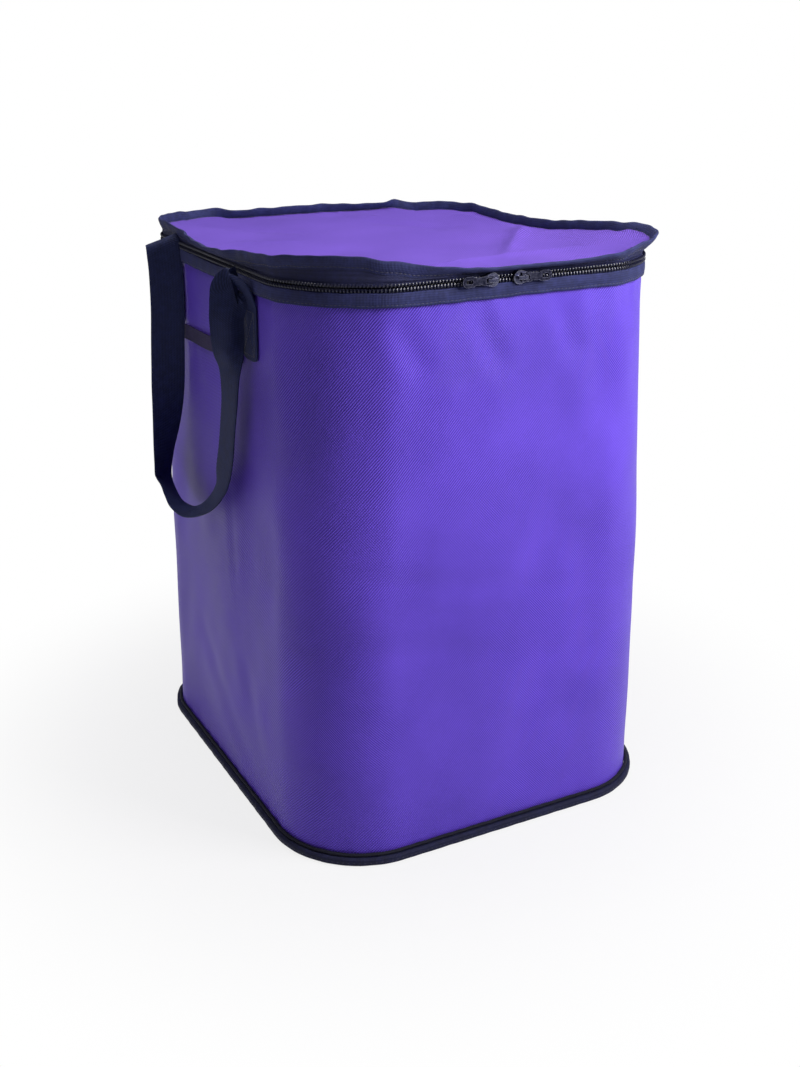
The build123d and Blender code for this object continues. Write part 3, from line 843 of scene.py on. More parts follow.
# Top of the lid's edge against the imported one, and how far it flares out: place, lift, flare.
LID_EDGE = [
    (on_back(0.075), -12.0, 0.5), (on_back(0.045), -11.0, 0.5), (on_back(0.015), -9.5, 0.5),
    (on_back(-0.010), -10.0, 0.5), (on_back(-0.040), -10.0, 0.5), (on_back(-0.065), -11.0, 0.5),
    (BACK_LEFT, -7.0, 2.5), (on_left(0.100), -5.5, 3.5), (on_left(0.085), -6.0, 3.5),
    (on_left(0.055), -8.0, 3.0), (on_left(0.020), -11.0, 2.0), (on_left(-0.010), -12.0, 1.0),
    (on_left(-0.040), -9.5, 1.0), (on_left(-0.065), -6.5, 2.0), (on_left(-0.090), -5.0, 3.0),
    (FRONT_LEFT - 0.030, -2.0, 3.0), (FRONT_LEFT, 0.0, 3.5), (FRONT_LEFT + 0.030, -0.5, 3.0),
    (on_front(-0.095), -2.5, 2.5), (on_front(-0.075), -5.5, 2.5), (on_front(-0.055), -9.0, 2.5),
    (on_front(-0.030), -11.5, 3.0), (on_front(-0.010), -13.0, 3.5), (on_front(0.005), -14.5, 4.0),
    (on_front(0.015), -15.0, 4.0), (on_front(0.025), -16.0, 4.0), (on_front(0.040), -13.0, 4.0),
    (on_front(0.060), -11.5, 4.0), (on_front(0.085), -10.0, 5.0), (FRONT_RIGHT - 0.030, -7.0, 7.0),
    (FRONT_RIGHT, -3.5, 12.0), (FRONT_RIGHT + 0.025, -2.5, 11.0), (on_right(-0.105), -2.5, 7.0),
    (on_right(-0.090), -3.5, 4.0), (on_right(-0.050), -6.5, 2.0), (on_right(-0.010), -11.0, 1.0),
    (on_right(0.010), -12.0, 1.0), (on_right(0.030), -12.5, 1.0), (on_right(0.055), -13.0, 1.0),
    (on_right(0.085), -12.0, 1.0), (on_right(0.110), -10.5, 1.0), (BACK_RIGHT, -10.5, 1.0),
    (on_back(0.100), -12.5, 1.0),
]
edge_lift = track([(at, lift * MM) for at, lift, _ in LID_EDGE], 6 * MM)
edge_flare = track([(at, flare * MM) for at, _, flare in LID_EDGE], 8 * MM)
# The binding leans outwards (1), but inwards (-1) over the hinge cloth.
edge_way = track([
    (on_back(-0.066), -1.0), (on_back(-0.088), 1.0), (FRONT_MIDDLE, 1.0), (on_back(0.098), 1.0),
    (on_back(0.078), -1.0),
], 5 * MM)
# Along the right side and its back corner the lid's edge has sunk (1) inside the zip.
edge_sunk = track([
    (on_back(0.080), 0.0), (on_back(-0.080), 0.0), (FRONT_MIDDLE, 0.0), (on_right(-0.080), 0.0),
    (on_right(-0.040), 0.7), (on_right(0.0), 1.0), (BACK_RIGHT, 1.0), (on_back(0.100), 0.8),
], 6 * MM)
SUNK_IN = 6.0 * MM
SUNK_DOWN = 5.0 * MM
LEAN_FLARE = 6.0 * MM
STEEPEST = 0.30


def lid_edge(s):
    """Foot of the lid's binding as (grow, z), and how far it leans out from upright, at places s."""
    top = binding_high.z + edge_lift(s) + 0.5 * MM * ripple(s, (31, 43, 59), 41)
    across_front = rise(np.abs(s - FRONT_MIDDLE), CORE_X + 12 * MM, CORE_X - 6 * MM)
    at_hinge = rise(np.minimum(s % RIM, -s % RIM), HINGE_HALF + 4 * MM, HINGE_HALF - 8 * MM)
    floor = EDGE_FLOOR + (SLIDER_TOP + 0.3 * MM - EDGE_FLOOR) * across_front - 1.2 * MM * at_hinge
    floor = floor - SUNK_DOWN * edge_sunk(s)
    flare = edge_flare(s) + 0.5 * MM * ripple(s, (19, 37, 53), 43)
    lean = np.arcsin(np.clip(np.minimum(flare, LEAN_FLARE) / BINDING_HEIGHT, -0.3, 0.9))
    squeezed = np.arccos(np.clip((top - floor) / BINDING_HEIGHT, STEEPEST, 1.0))
    lean = np.maximum(lean, squeezed) * edge_way(s)
    foot = np.maximum(top - BINDING_HEIGHT * np.cos(lean), floor)
    foot_grow = BINDING_MIDDLE + 0.8 * np.maximum(flare - LEAN_FLARE, 0) - SUNK_IN * edge_sunk(s)
    return foot_grow, foot, lean


def edge_point(s, up, off):
    """Grow and z of a point on the lid's binding: up its height, and off its middle, outward."""
    foot_grow, foot_z, lean = lid_edge(s)
    grow = foot_grow + up * np.sin(lean) + off * np.cos(lean)
    return grow, foot_z + up * np.cos(lean) - off * np.sin(lean)


def make_lid_binding():
    half = BINDING_HALF
    profile = [
        (0.2, 0.82), (0.9, 0.74), (1.7, 0.58), (2.5, 0.82), (3.6, 1.0), (5.2, 1.0), (6.8, 0.92), (8.0, 0.72),
        (8.7, 0.42),
    ]
    outer = [(up * MM, share * half) for up, share in profile]
    inner = [(up * MM, -share * half) for up, share in profile[::-1]]
    section = np.array([(0.0, 0.4 * half)] + outer + [(BINDING_HEIGHT, 0.0)] + inner + [(0.0, -0.4 * half)])

    count = int(RIM / (2.2 * MM))
    s = np.linspace(0, RIM, count + 1)
    rows = s[:-1][:, None]
    up, off = section[:, 0][None, :], section[:, 1][None, :]
    plump = 1 + 0.14 * ripple(rows, (47, 71, 101), 47)
    grow, z = edge_point(rows, up, off * plump)
    ring = tube("lid_bound_edge", place(rows, grow, z), s, section_uv(section), True)
    dress(ring, BINDING, "lid", "binding", "lid_binding")

    for side, way in (("outer", 1), ("inner", -1)):
        def spot(s):
            grow, z = edge_point(s, 1.7 * MM, way * 0.66 * half)
            return grow, z, (0.0 if way > 0 else math.pi) - lid_edge(s)[2]

        line = rim_stitches(f"lid_bound_edge_stitches_{side}", (0, RIM), 3.0 * MM, 2.4 * MM, 0.26 * MM, spot)
        dress(line, THREAD, "lid", "thread")


# ---- zip: tapes, coil and the hinge cloth ----
zip_start = HINGE_HALF + 0.5 * MM
ZIP_RUN = (zip_start, RIM - zip_start)
TAPE_HALF = 0.35 * MM


def strip(name, s_range, spacing, path_grow, path_z, half):
    """Thin cloth strip along part of the rim. The paths give grow and z up the strip, by place."""
    count = int((s_range[1] - s_range[0]) / spacing)
    s = np.linspace(*s_range, count + 1)[:, None]
    grow, z = path_grow(s), path_z(s)
    slope_grow = np.gradient(grow, axis=1)
    slope_z = np.gradient(z, axis=1)
    length = np.maximum(np.hypot(slope_grow, slope_z), 1e-9)
    out_grow, out_z = slope_z / length * half, -slope_grow / length * half
    grow = np.concatenate([grow + out_grow, (grow - out_grow)[:, ::-1]], axis=1)
    z = np.concatenate([z + out_z, (z - out_z)[:, ::-1]], axis=1)
    up = np.concatenate([[0], np.cumsum(length.mean(axis=0))[:-1]])
    around = np.concatenate([up, up[::-1], up[:1]])
    return tube(name, place(s, grow, z), s[:, 0], around, False)


def make_zip_tapes():
    low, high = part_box("zip_tape_lower")
    share = np.linspace(0, 1, 8)[None, :]
    lower = strip("zip_tape_bag", ZIP_RUN, 3 * MM, lambda s: TAPE_MIDDLE + 0 * s * share,
                  lambda s: low.z + (high.z - low.z) * share + 0 * s, TAPE_HALF)
    dress(lower, ZIP_TAPE, "bag", "zip_tape", "zip_tape_lower")

    rungs = np.linspace(0, 1, 22)[None, :]
    start_z = upper_coil_low.z
    fold_z = upper_coil_high.z + 0.3 * MM

    def path(s):
        grow_end, z_end = edge_point(s, 1.2 * MM, 0.0)
        slack = rise(upper_coil_high.z + 9 * MM - z_end, 0, 8 * MM)
        first = np.clip(rungs / 0.2, 0, 1)
        second = np.clip((rungs - 0.2) / 0.8, 0, 1)
        ridges = np.sin(math.pi * second) * 0.55 + np.maximum(np.sin(2.6 * math.pi * second), 0) * 0.5
        bulge = (0.5 + 0.9 * slack + 0.25 * ripple(s, (29, 41), 53)) * MM * ridges
        grow = TAPE_MIDDLE + (grow_end - TAPE_MIDDLE) * second ** 2 + bulge
        z = start_z + (fold_z - start_z) * first + (z_end - fold_z) * second
        return grow, z

    upper = strip("zip_tape_lid", ZIP_RUN, 2.5 * MM, lambda s: path(s)[0], lambda s: path(s)[1], TAPE_HALF)
    dress(upper, ZIP_TAPE, "lid", "zip_tape", "zip_tape_upper")


def make_coil(name, node, up_way):
    """One row of the zip's coil: a looped tooth every pitch, its round outer end away from the middle."""
    low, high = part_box(node)
    pitch = 2.4 * MM
    s = np.arange(ZIP_RUN[0] + pitch, ZIP_RUN[1] - pitch, pitch) + (0.0 if up_way > 0 else pitch / 2)
    outer_z = low.z if up_way > 0 else high.z
    inner_z = high.z if up_way > 0 else low.z
    reach = inner_z - outer_z
    meet = 0.35 * MM * up_way
    route = [
        (0.35, 0.95, 0.30), (1.1, 0.34, 0.12), (1.65, 0.26, 0.0),
        (2.0, 0.48, -0.08), (2.0, 0.82, -0.14), (1.5, 0.95, -0.2),
    ]
    girths = [0.5, 0.6, 0.66, 0.7, 0.62, 0.4]
    sides = 6
    points = np.zeros((len(s), len(route), sides, 3))
    _, out = rim(s)
    outward = np.concatenate([out, np.zeros((len(s), 1))], axis=1)
    sideways = np.stack([-out[:, 1], out[:, 0], np.zeros(len(s))], axis=1)
    line = np.array([
        (g * MM, outer_z + reach * share + (meet if share > 0.9 else 0))
        for g, share, _ in route
    ])
    slope = np.gradient(line, axis=0)
    slope /= np.linalg.norm(slope, axis=1)[:, None]
    for k, ((g, share, shift), girth) in enumerate(zip(route, girths)):
        centre = place(s + shift * pitch, line[k, 0], line[k, 1])
        flat_normal = outward * slope[k, 1] - np.array([0, 0, 1]) * slope[k, 0]
        for m in range(sides):
            turn = 2 * math.pi * m / sides
            spoke = sideways * math.cos(turn) + flat_normal * math.sin(turn)
            points[:, k, m] = centre + spoke * girth * 0.8 * MM
    return bars(name, points)


def make_coils():
    lower = make_coil("zip_coil_bag", "zip_coil_lower", 1)
    dress(lower, COIL, "bag", "zip_coil", "zip_coil_lower")
    upper = make_coil("zip_coil_lid", "zip_coil_upper", -1)
    dress(upper, COIL, "lid", "zip_coil", "zip_coil_upper")


def make_hinge_cloth():
    low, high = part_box("lid_hinge_cloth")
    share = np.linspace(0, 1, 20)[None, :]

    def path(s):
        grow_end, z_end = edge_point(s, 1.0 * MM, 0.0)
        bow = 0.9 * MM * np.sin(math.pi * share) * (1 + 0.4 * ripple(s, (23, 41), 59))
        return TAPE_MIDDLE + (grow_end - TAPE_MIDDLE) * share ** 2 + bow, low.z + (z_end - low.z) * share

    cloth = strip("lid_hinge_strip", (-HINGE_HALF, HINGE_HALF), 3 * MM, lambda s: path(s)[0],
                  lambda s: path(s)[1], TAPE_HALF)
    cloth.data.materials.append(BINDING)
    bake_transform(cloth)
    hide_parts("lid_hinge_cloth")


# ---- lid cloth and lining ----
# Ridges and hollows on the lid: two ends as (x, y), height and width.
LID_FOLDS = [
    ((0.020, -0.128), (0.124, 0.010), 3.6 * MM, 6.5 * MM),
    ((-0.040, -0.135), (0.085, -0.118), 2.2 * MM, 6.0 * MM),
    ((0.124, 0.010), (0.112, 0.110), 2.2 * MM, 9.0 * MM),
    ((0.070, 0.020), (0.020, 0.100), -2.2 * MM, 16.0 * MM),
    ((-0.110, 0.120), (-0.040, 0.040), -1.8 * MM, 15.0 * MM),
    ((-0.120, -0.100), (-0.050, -0.030), -1.8 * MM, 14.0 * MM),
    ((0.030, 0.130), (0.060, 0.060), 1.8 * MM, 10.0 * MM),
    ((-0.125, 0.020), (-0.070, 0.005), 1.4 * MM, 9.0 * MM),
]


def lid_surface(flat, edge):
    """Heights of the lid's cloth: its wavy edge carried inwards, then the sag and the folds."""
    steps = flat.shape[0]
    turns = np.arctan2(flat[..., 1], flat[..., 0])
    s = np.linspace(0, RIM, PLAN_STOPS)
    outline = place(s, 0.0, WALL_TOP)
    outline_turns = np.unwrap(np.arctan2(outline[:, 1], outline[:, 0]))
    near_s = np.interp(np.where(turns < outline_turns[0], turns + 2 * math.pi, turns), outline_turns, s)
    _, edge_z = edge_point(near_s, 1.6 * MM, -0.8 * BINDING_HALF)
    heights = edge_z.copy()
    border = edge > 1 - 1e-6
    heights[~border] = edge_z[border].mean()
    for _ in range(SETTLE_PASSES):
        inner = (heights[:-2, 1:-1] + heights[2:, 1:-1] + heights[1:-1, :-2] + heights[1:-1, 2:]) / 4
        heights[1:-1, 1:-1] = inner
    x, y = flat[..., 0], flat[..., 1]
    middle_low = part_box("lid_lining")[0].z + 2.6 * MM
    hang = np.cos(np.clip(edge, 0, 1) ** 1.5 * math.pi / 2)
    heights += hang * (middle_low - heights[steps // 2, steps // 2])
    free = rise(edge, 1.0, 0.8)
    folds = np.zeros_like(heights)
    for start, end, height, width in LID_FOLDS:
        run = np.array(end) - start
        length = np.hypot(*run)
        run /= length
        t = (x - start[0]) * run[0] + (y - start[1]) * run[1]
        off = ((x - start[0]) * run[1] - (y - start[1]) * run[0]) / width
        taper = rise(t, -0.2 * length, 0.3 * length) * rise(t, 1.2 * length, 0.7 * length)
        sharp = np.exp(-np.abs(off) ** 1.3)
        folds += height * taper * sharp
    wide = np.sin(61 * x + 23 * y) * np.sin(17 * x - 53 * y + 2)
    wrinkle = 0.35 * MM * (wide + 0.5 * np.sin(120 * x - 70 * y))
    pucker = 0.4 * MM * rise(edge, 0.78, 0.97) * rise(edge, 1.0, 0.97) * ripple(near_s, (67, 89, 113), 61)
    return heights + free * (folds + wrinkle) + pucker


def lid_seam(s):
    """Where the lid's cloth meets the inner face of its binding."""
    grow, _ = edge_point(s, 1.6 * MM, -0.8 * BINDING_HALF)
    return grow


def make_lid():
    flat, edge = plan_grid(121, lid_seam, WALL_TOP)
    heights = lid_surface(flat, edge)
    thickness = 1.0 * MM
    cloth = plan_sheet("lid_panel", flat, heights, heights - thickness)
    dress(cloth, LID, "lid", "lid_cloth", "lid_cloth")
    flat, edge = plan_grid(81, lid_seam, WALL_TOP)
    heights = lid_surface(flat, edge) - thickness - 0.3 * MM
    x, y = flat[..., 0], flat[..., 1]
    loose = 0.5 * MM * rise(edge, 1.0, 0.85) * (1 + np.sin(53 * x - 31 * y) * np.sin(29 * x + 47 * y))
    lining = plan_sheet("lid_lining_cloth", flat, heights - loose, heights - loose - 0.6 * MM)
    dress(lining, LINING, "lid", "lining", "lid_lining")


# ---- handles: webbing ribbons, made on the -X side and mirrored ----
WEB_HALF = 12.7 * MM
WEB_THICK = 0.8 * MM
ANCHOR_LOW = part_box("handle_anchor_back_left")[0].z
FOLD_Z = next(j for j in frame["joints"] if j["name"] == "handle_left_swing")["pos_m"][2]

# Stations of a handle's webbing on the -X side, from the front sewn end round to the back one:
# distance out from the wall, y, height against the fold (all in millimetres), and which way its
# width lies. In the folds the width is (towards the bag, forwards, up). In the loop it is the turn
# of the width about the run, in degrees: 90 and -90 lie flat along the wall, 0 stands square to it.
FRONT_FOLD = [
    (1.0, -72.0, -6.0, (0.00, 1.00, 0.00)),
    (2.5, -72.0, -1.0, (0.00, 1.00, 0.00)),
    (4.5, -72.0, 3.5, (0.05, 1.00, 0.00)),
    (7.0, -70.5, 6.5, (0.35, 0.94, 0.00)),
    (9.5, -67.0, 6.5, (0.70, 0.71, -0.05)),
    (12.0, -65.0, 3.5, (0.85, 0.52, -0.08)),
    (12.5, -65.0, -1.0, (0.88, 0.47, -0.06)),
    (13.0, -64.5, -7.0, (0.89, 0.45, -0.04)),
]
LOOP = [
    (14.0, -63.5, -16.0, 27),
    (13.0, -61.5, -27.5, 29),
    (12.5, -60.5, -38.5, 48),
    (12.0, -60.0, -52.5, 78),
    (11.5, -57.0, -73.0, 87),
    (11.0, -51.0, -93.0, 89),
    (11.0, -44.5, -117.0, 89),
    (11.5, -35.5, -136.5, 94),
    (12.5, -21.0, -154.0, 118),
    (14.0, 10.0, -172.5, 152),
    (15.5, 34.5, -180.0, 188),
    (16.5, 51.5, -180.0, 212),
    (17.5, 66.0, -176.5, 226),
    (18.5, 78.5, -168.0, 226),
    (18.0, 77.5, -152.0, 217),
    (17.0, 71.5, -128.5, 201),
    (15.5, 69.0, -107.5, 186),
    (14.0, 69.0, -84.0, 166),
    (13.0, 68.5, -56.0, 155),
    (12.5, 66.5, -31.0, 153),
]
BACK_FOLD = [
    (12.5, 66.5, -5.0, (-0.89, -0.44, -0.04)),
    (13.0, 67.0, 8.0, (-0.91, -0.34, -0.16)),
    (13.0, 68.5, 16.0, (-0.93, -0.20, -0.30)),
    (12.5, 72.5, 18.5, (-0.93, -0.15, -0.32)),
    (10.0, 76.0, 14.0, (-0.85, -0.45, -0.25)),
    (4.5, 78.5, 4.0, (-0.40, -0.90, -0.10)),
    (1.0, 77.0, -6.0, (0.00, -1.00, 0.00)),
]
STATION_STEPS = 8


def smooth_through(values, per_span):
    """Catmull-Rom curve through a list of rows."""
    values = np.asarray(values, float)
    padded = np.concatenate([2 * values[:1] - values[1:2], values, 2 * values[-1:] - values[-2:-1]])
    t = np.linspace(0, 1, per_span, endpoint=False)[:, None]
    parts = []
    for a, b, c, d in zip(padded, padded[1:], padded[2:], padded[3:]):
        square, cube = 2 * a - 5 * b + 4 * c - d, 3 * b - a - 3 * c + d
        parts.append(0.5 * (2 * b + (c - a) * t + square * t ** 2 + cube * t ** 3))
    parts.append(values[-1:])
    return np.concatenate(parts)


def handle_line(rise_share):
    """Centre points and width directions of the whole handle's webbing on the -X side. rise_share
    is how much of its height above the fold line the webbing keeps."""
    stations = FRONT_FOLD + LOOP + BACK_FOLD
    centres = []
    for out, y, up, _ in stations:
        z = FOLD_Z + (up * rise_share if up > 0 else up) * MM
        centres.append((-(CORE_X + radius_at(z) + out * MM), y * MM, z))
    runs = np.gradient(np.array(centres), axis=0)
    widths = []
    for (_, _, _, width), run in zip(stations, runs):
        if isinstance(width, tuple):
            widths.append((width[0], -width[1], width[2]))
            continue
        outward = np.cross(run, (1, 0, 0))
        outward /= np.linalg.norm(outward)
        square = np.cross(outward, run)
        square /= np.linalg.norm(square)
        turn = math.radians(width)
        widths.append(tuple(square * math.cos(turn) + outward * math.sin(turn)))
    fine = smooth_through([centre + width for centre, width in zip(centres, widths)], STATION_STEPS)
    return fine[:, :3], fine[:, 3:]


def ribbon_points(centres, widths, crease):
    """Sections of webbing along its centre points, each square to the run. crease, 0 to 1, folds
    the webbing lengthwise, outwards and nearer the edge that lies towards the bag."""
    run = np.gradient(centres, axis=0)
    run /= np.linalg.norm(run, axis=1)[:, None]
    across = widths - run * (widths * run).sum(axis=1)[:, None]
    across /= np.linalg.norm(across, axis=1)[:, None]
    face = np.cross(across, run)
    share = np.linspace(-1, 1, 2 * RIBBON_STEPS + 1)
    edge = 1 - 0.45 * np.abs(share) ** 14
    section = np.concatenate([np.stack([share, edge], axis=1), np.stack([share, -edge], axis=1)[::-1]])
    ridge = np.where(section[:, 0] < RIDGE_AT, (1 + section[:, 0]) / (1 + RIDGE_AT),
                     (1 - section[:, 0]) / (1 - RIDGE_AT))
    ridge = ridge * ridge * (3 - 2 * ridge)
    width = WEB_HALF * (1 - 0.10 * crease)
    points = centres[:, None, :] + section[:, 0][None, :, None] * (width[:, None] * across)[:, None, :]
    points = points + section[:, 1][None, :, None] * WEB_THICK * face[:, None, :]
    points = points - ridge[None, :, None] * (crease * RIDGE_HEIGHT)[:, None, None] * face[:, None, :]
    return points, section_uv(section * [WEB_HALF, WEB_THICK])


RIBBON_STEPS = 12
RIDGE_AT = 0.25
RIDGE_HEIGHT = 5.0 * MM


def ribbon(name, points, along, around, side):
    if side > 0:
        points = points[:, ::-1] * [-1, 1, 1]
        around = around[::-1]
    return tube(name, points, along, around, False)


def box_stitches(name, side, y):
    """Sewn box and cross on a sewn layer."""
    half = WEB_HALF - 3 * MM
    low, high = ANCHOR_LOW + 3.5 * MM, FOLD_Z - 10 * MM
    corners = [(y - half, low), (y + half, low), (y + half, high), (y - half, high)]
    lines = [(corners[k], corners[(k + 1) % 4]) for k in range(4)]
    lines += [(corners[0], corners[2]), (corners[1], corners[3])]
    pitch = 2.7 * MM
    centres, runs = [], []
    for start, end in lines:
        start, end = np.array(start), np.array(end)
        length = np.hypot(*(end - start))
        count = int(round(length / pitch))
        for k in range(count):
            centres.append(start + (end - start) * (k + 0.5) / count)
            runs.append((end - start) / length)
    centres, runs = np.array(centres), np.array(runs)
    x = -(CORE_X + radius_at(centres[:, 1]) + 1.9 * MM)
    points = np.stack([side * -x, centres[:, 0], centres[:, 1]], axis=1)
    run = np.stack([np.zeros(len(runs)), runs[:, 0], runs[:, 1]], axis=1)
    out = np.tile([float(side), 0, 0], (len(runs), 1))
    return threads(name, points, run, out, 2.3 * MM, 0.27 * MM)


def make_sewn_layer(name, side, y):
    """Sewn layer flat on the wall, with its rounded, turned-in lower end."""
    reach = 6 * MM
    z = np.concatenate([np.linspace(ANCHOR_LOW, ANCHOR_LOW + reach, 9),
                        np.linspace(ANCHOR_LOW + reach + 2 * MM, FOLD_Z - 6 * MM, 16)])
    centres = np.stack([-(CORE_X + radius_at(z) + 1.0 * MM), np.full_like(z, y), z], axis=1)
    points, around = ribbon_points(centres, np.tile([0.0, -1.0, 0.0], (len(z), 1)), np.zeros(len(z)))
    round_off = np.sqrt(1 - (1 - np.clip((z - ANCHOR_LOW) / reach, 0, 1)) ** 2)
    points[:, :, 1] = y + (points[:, :, 1] - y) * (0.6 + 0.4 * round_off)[:, None]
    return ribbon(name, points, lengths(centres), around, side)


def make_side_tape(side):
    low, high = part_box("side_tape_left")
    y = np.linspace(high.y + 9 * MM, low.y, 44)
    tilt = (high.y - y) * 0.055
    sag = 0.6 * MM * np.sin((y - low.y) * 70)
    height = high.z - low.z
    z_low = low.z - 0.5 * MM + tilt + sag
    share = np.linspace(0, 1, 9)
    lift = 0.8 * MM * np.sin(math.pi * (y - low.y) / (high.y - low.y))
    z = z_low[:, None] + height * share[None, :]
    out = 0.3 * MM + lift[:, None] + 0.3 * MM * np.sin(y * 190)[:, None] * np.sin(math.pi * share)[None, :]
    thick = 0.9 * MM
    x_in = -(CORE_X + radius_at(z) + out)
    z_all = np.concatenate([z, z[:, ::-1]], axis=1)
    x_all = np.concatenate([x_in - thick, x_in[:, ::-1]], axis=1)
    points = np.stack([x_all, np.broadcast_to(y[:, None], x_all.shape), z_all], axis=-1)
    points = points[:, ::-1]
    around = np.concatenate([share, share[::-1], share[:1]]) * height
    if side > 0:
        points = points[:, ::-1] * [-1, 1, 1]
    return tube("side_tape_band_" + ("left" if side < 0 else "right"), points, high.y - y, around, False)


def bend_webbing(piece):
    """Webbing finish on a piece, with its placement baked into its mesh."""
    piece.data.materials.append(WEBBING)
    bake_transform(piece)


def make_handles():
    front_end = len(FRONT_FOLD)
    back_start = front_end + len(LOOP) - 1
    cuts = {
        "front": slice(0, front_end * STATION_STEPS + 1),
        "loop": slice(front_end * STATION_STEPS, back_start * STATION_STEPS + 1),
        "back": slice(back_start * STATION_STEPS, None),
    }
    for side, hand, rise_share in ((-1, "left", 1.0), (1, "right", 0.35)):
        centres, widths = handle_line(rise_share)
        at = np.arange(len(centres)) / STATION_STEPS
        crease = rise(at, front_end - 1.5, front_end + 0.5) * rise(at, front_end + 3.0, front_end + 1.8)
        points, around = ribbon_points(centres, widths, crease)
        along = lengths(centres)
        run = cuts["loop"]
        loop = ribbon(f"webbing_loop_{hand}", points[run], along[run], around, side)
        bend_webbing(loop)
        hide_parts(f"handle_strap_{hand}")
        for end, y in (("front", FRONT_FOLD[0][1] * MM), ("back", BACK_FOLD[-1][1] * MM)):
            run = cuts[end]
            fold = ribbon(f"webbing_fold_{end}_{hand}", points[run], along[run], around, side)
            bend_webbing(fold)
            layer = make_sewn_layer(f"webbing_sewn_{end}_{hand}", side, y)
            dress(layer, WEBBING, "bag", "webbing", f"handle_anchor_{end}_{hand}")
            sewn = box_stitches(f"sewn_box_{end}_{hand}", side, y)
            dress(sewn, THREAD, "bag", "thread", *([f"handle_stitching_{hand}"] if end == "front" else []))
        tape = make_side_tape(side)
        dress(tape, SIDE_TAPE, "bag", "side_tape", f"side_tape_{hand}")


# ---- CAD pieces that stay: sliders, pulls and board ----
def finish_cad():
    for node, material in (("slider_left", METAL), ("slider_right", METAL), ("pull_left", PULL_METAL),
                           ("pull_right", PULL_METAL), ("base_board", BOARD)):
        made = frame["nodes"][node]
        made.data.materials.clear()
        made.data.materials.append(material)
    for node in ("slider_left", "slider_right", "pull_left", "pull_right"):
        made = frame["nodes"][node]
        soft = made.modifiers.new("worn_edges", "BEVEL")
        soft.width = 0.22 * MM
        soft.segments = 3
        soft.limit_method = "ANGLE"
        soft.angle_limit = math.radians(40)


# ---- floor, light and camera ----
def make_stage():
    bpy.ops.mesh.primitive_plane_add(size=12.0)
    floor = bpy.context.object
    floor.name = "floor"
    n = Nodes("pale_floor", 0.85)
    grain = n.noise(60.0, 2.0)
    colour = n.mix(grain, (0.58, 0.58, 0.60, 1.0), (0.62, 0.62, 0.64, 1.0))
    n.finish(colour, specular=0.1)
    out = n.tree.nodes["Material Output"]
    glow = n.new("ShaderNodeEmission")
    glow.inputs["Strength"].default_value = 1.0
    blend = n.new("ShaderNodeMixShader")
    length = n.new("ShaderNodeVectorMath", operation="LENGTH")
    n.link(n.position(), length.inputs[0])
    far = n.math("MULTIPLY_ADD", n.ramp(length.outputs["Value"], 0.20, 0.44), 0.20, 0.80)
    seen = n.new("ShaderNodeLightPath")
    looked = n.math("MAXIMUM", seen.outputs["Is Camera Ray"], seen.outputs["Is Glossy Ray"])
    n.link(n.math("MULTIPLY", far, looked), blend.inputs[0])
    n.link(n.shader.outputs[0], blend.inputs[1])
    n.link(glow.outputs[0], blend.inputs[2])
    n.link(blend.outputs[0], out.inputs["Surface"])
    floor.data.materials.append(n.material)


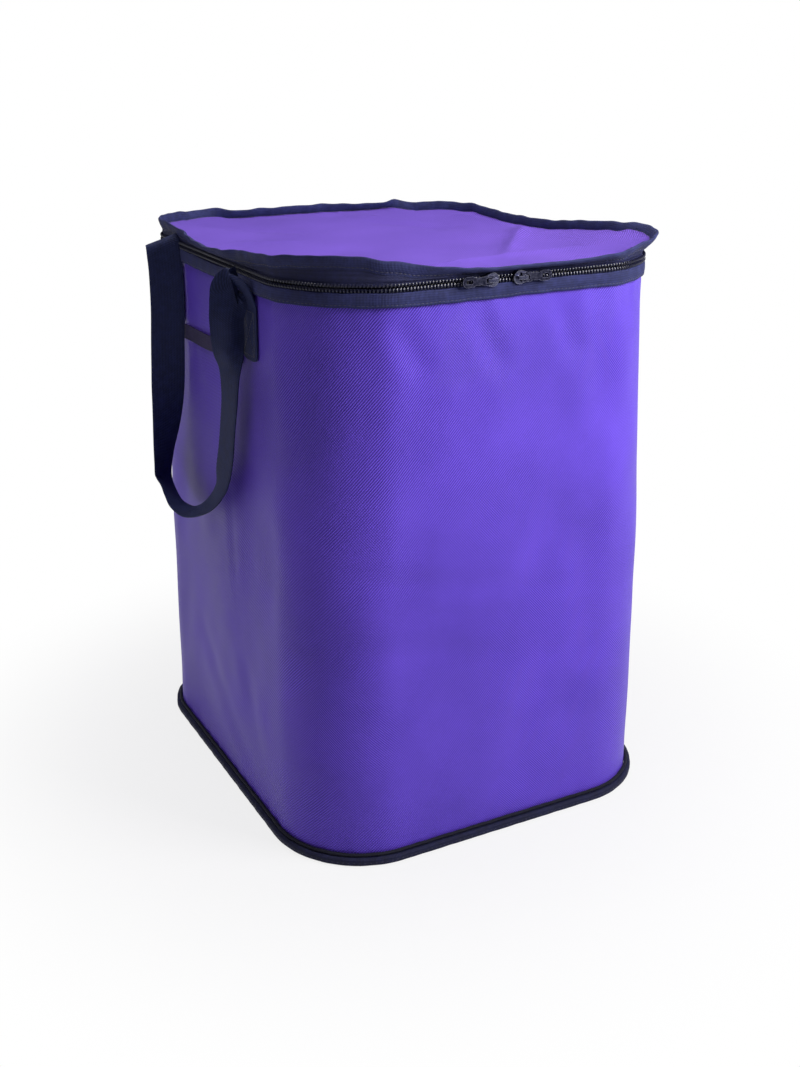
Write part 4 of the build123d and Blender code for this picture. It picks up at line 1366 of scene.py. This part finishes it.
def make_world():
    world = bpy.data.worlds.new("studio")
    bpy.context.scene.world = world
    world.use_nodes = True
    tree = world.node_tree
    ground = tree.nodes["Background"]
    ground.inputs["Color"].default_value = (0.92, 0.93, 1.0, 1.0)
    ground.inputs["Strength"].default_value = 0.12
    white = tree.nodes.new("ShaderNodeBackground")
    white.inputs["Color"].default_value = (1.0, 1.0, 1.0, 1.0)
    white.inputs["Strength"].default_value = 1.0
    seen = tree.nodes.new("ShaderNodeLightPath")
    blend = tree.nodes.new("ShaderNodeMixShader")
    tree.links.new(seen.outputs["Is Camera Ray"], blend.inputs[0])
    tree.links.new(ground.outputs[0], blend.inputs[1])
    tree.links.new(white.outputs[0], blend.inputs[2])
    tree.links.new(blend.outputs[0], tree.nodes["World Output"].inputs["Surface"])


def area_light(name, spot, aim, size, power, colour=(1.0, 1.0, 1.0)):
    light = bpy.data.lights.new(name, "AREA")
    light.shape = "RECTANGLE"
    light.size, light.size_y = size
    light.energy = power
    light.color = colour
    lamp = bpy.data.objects.new(name, light)
    lamp.location = spot
    lamp.rotation_euler = (Vector(aim) - Vector(spot)).to_track_quat("-Z", "Y").to_euler()
    bpy.context.scene.collection.objects.link(lamp)


CAMERA_AZIMUTH = math.radians(-27.85)
CAMERA_ELEVATION = math.radians(21.11)
CAMERA_DISTANCE = 1.0567
CAMERA_AIM = Vector((0.0052, -0.0027, 0.1787))
CAMERA_LENS = 43.6
CAMERA_SENSOR = 36.0


def make_camera():
    azimuth, elevation = CAMERA_AZIMUTH, CAMERA_ELEVATION
    level = math.cos(elevation)
    back = Vector((math.sin(azimuth) * level, -math.cos(azimuth) * level, math.sin(elevation)))
    data = bpy.data.cameras.new("camera")
    data.lens = CAMERA_LENS
    data.sensor_width = CAMERA_SENSOR
    camera = bpy.data.objects.new("camera", data)
    camera.location = CAMERA_AIM + back * CAMERA_DISTANCE
    camera.rotation_euler = (-back).to_track_quat("-Z", "Y").to_euler()
    bpy.context.scene.collection.objects.link(camera)
    bpy.context.scene.camera = camera


make_camera()
make_stage()
make_world()
area_light("key", (0.40, -0.60, 0.74), (0.04, -0.17, 0.37), (0.4, 0.4), 9.4, (1.0, 0.98, 0.99))
area_light("top", (-0.1, 0.3, 1.6), (0.0, 0.0, 0.4), (1.4, 1.4), 17.0, (1.0, 0.98, 1.0))
area_light("fill", (-1.6, -0.1, 0.7), (0.0, 0.0, 0.2), (1.6, 1.6), 2.0, (1.0, 0.88, 0.96))
bpy.context.scene.view_settings.view_transform = "Standard"

make_wall()
make_base()
make_base_trim()
make_mouth_binding()
make_lid_binding()
make_zip_tapes()
make_coils()
make_hinge_cloth()
make_lid()
make_handles()
finish_cad()

bpy.context.view_layer.update()
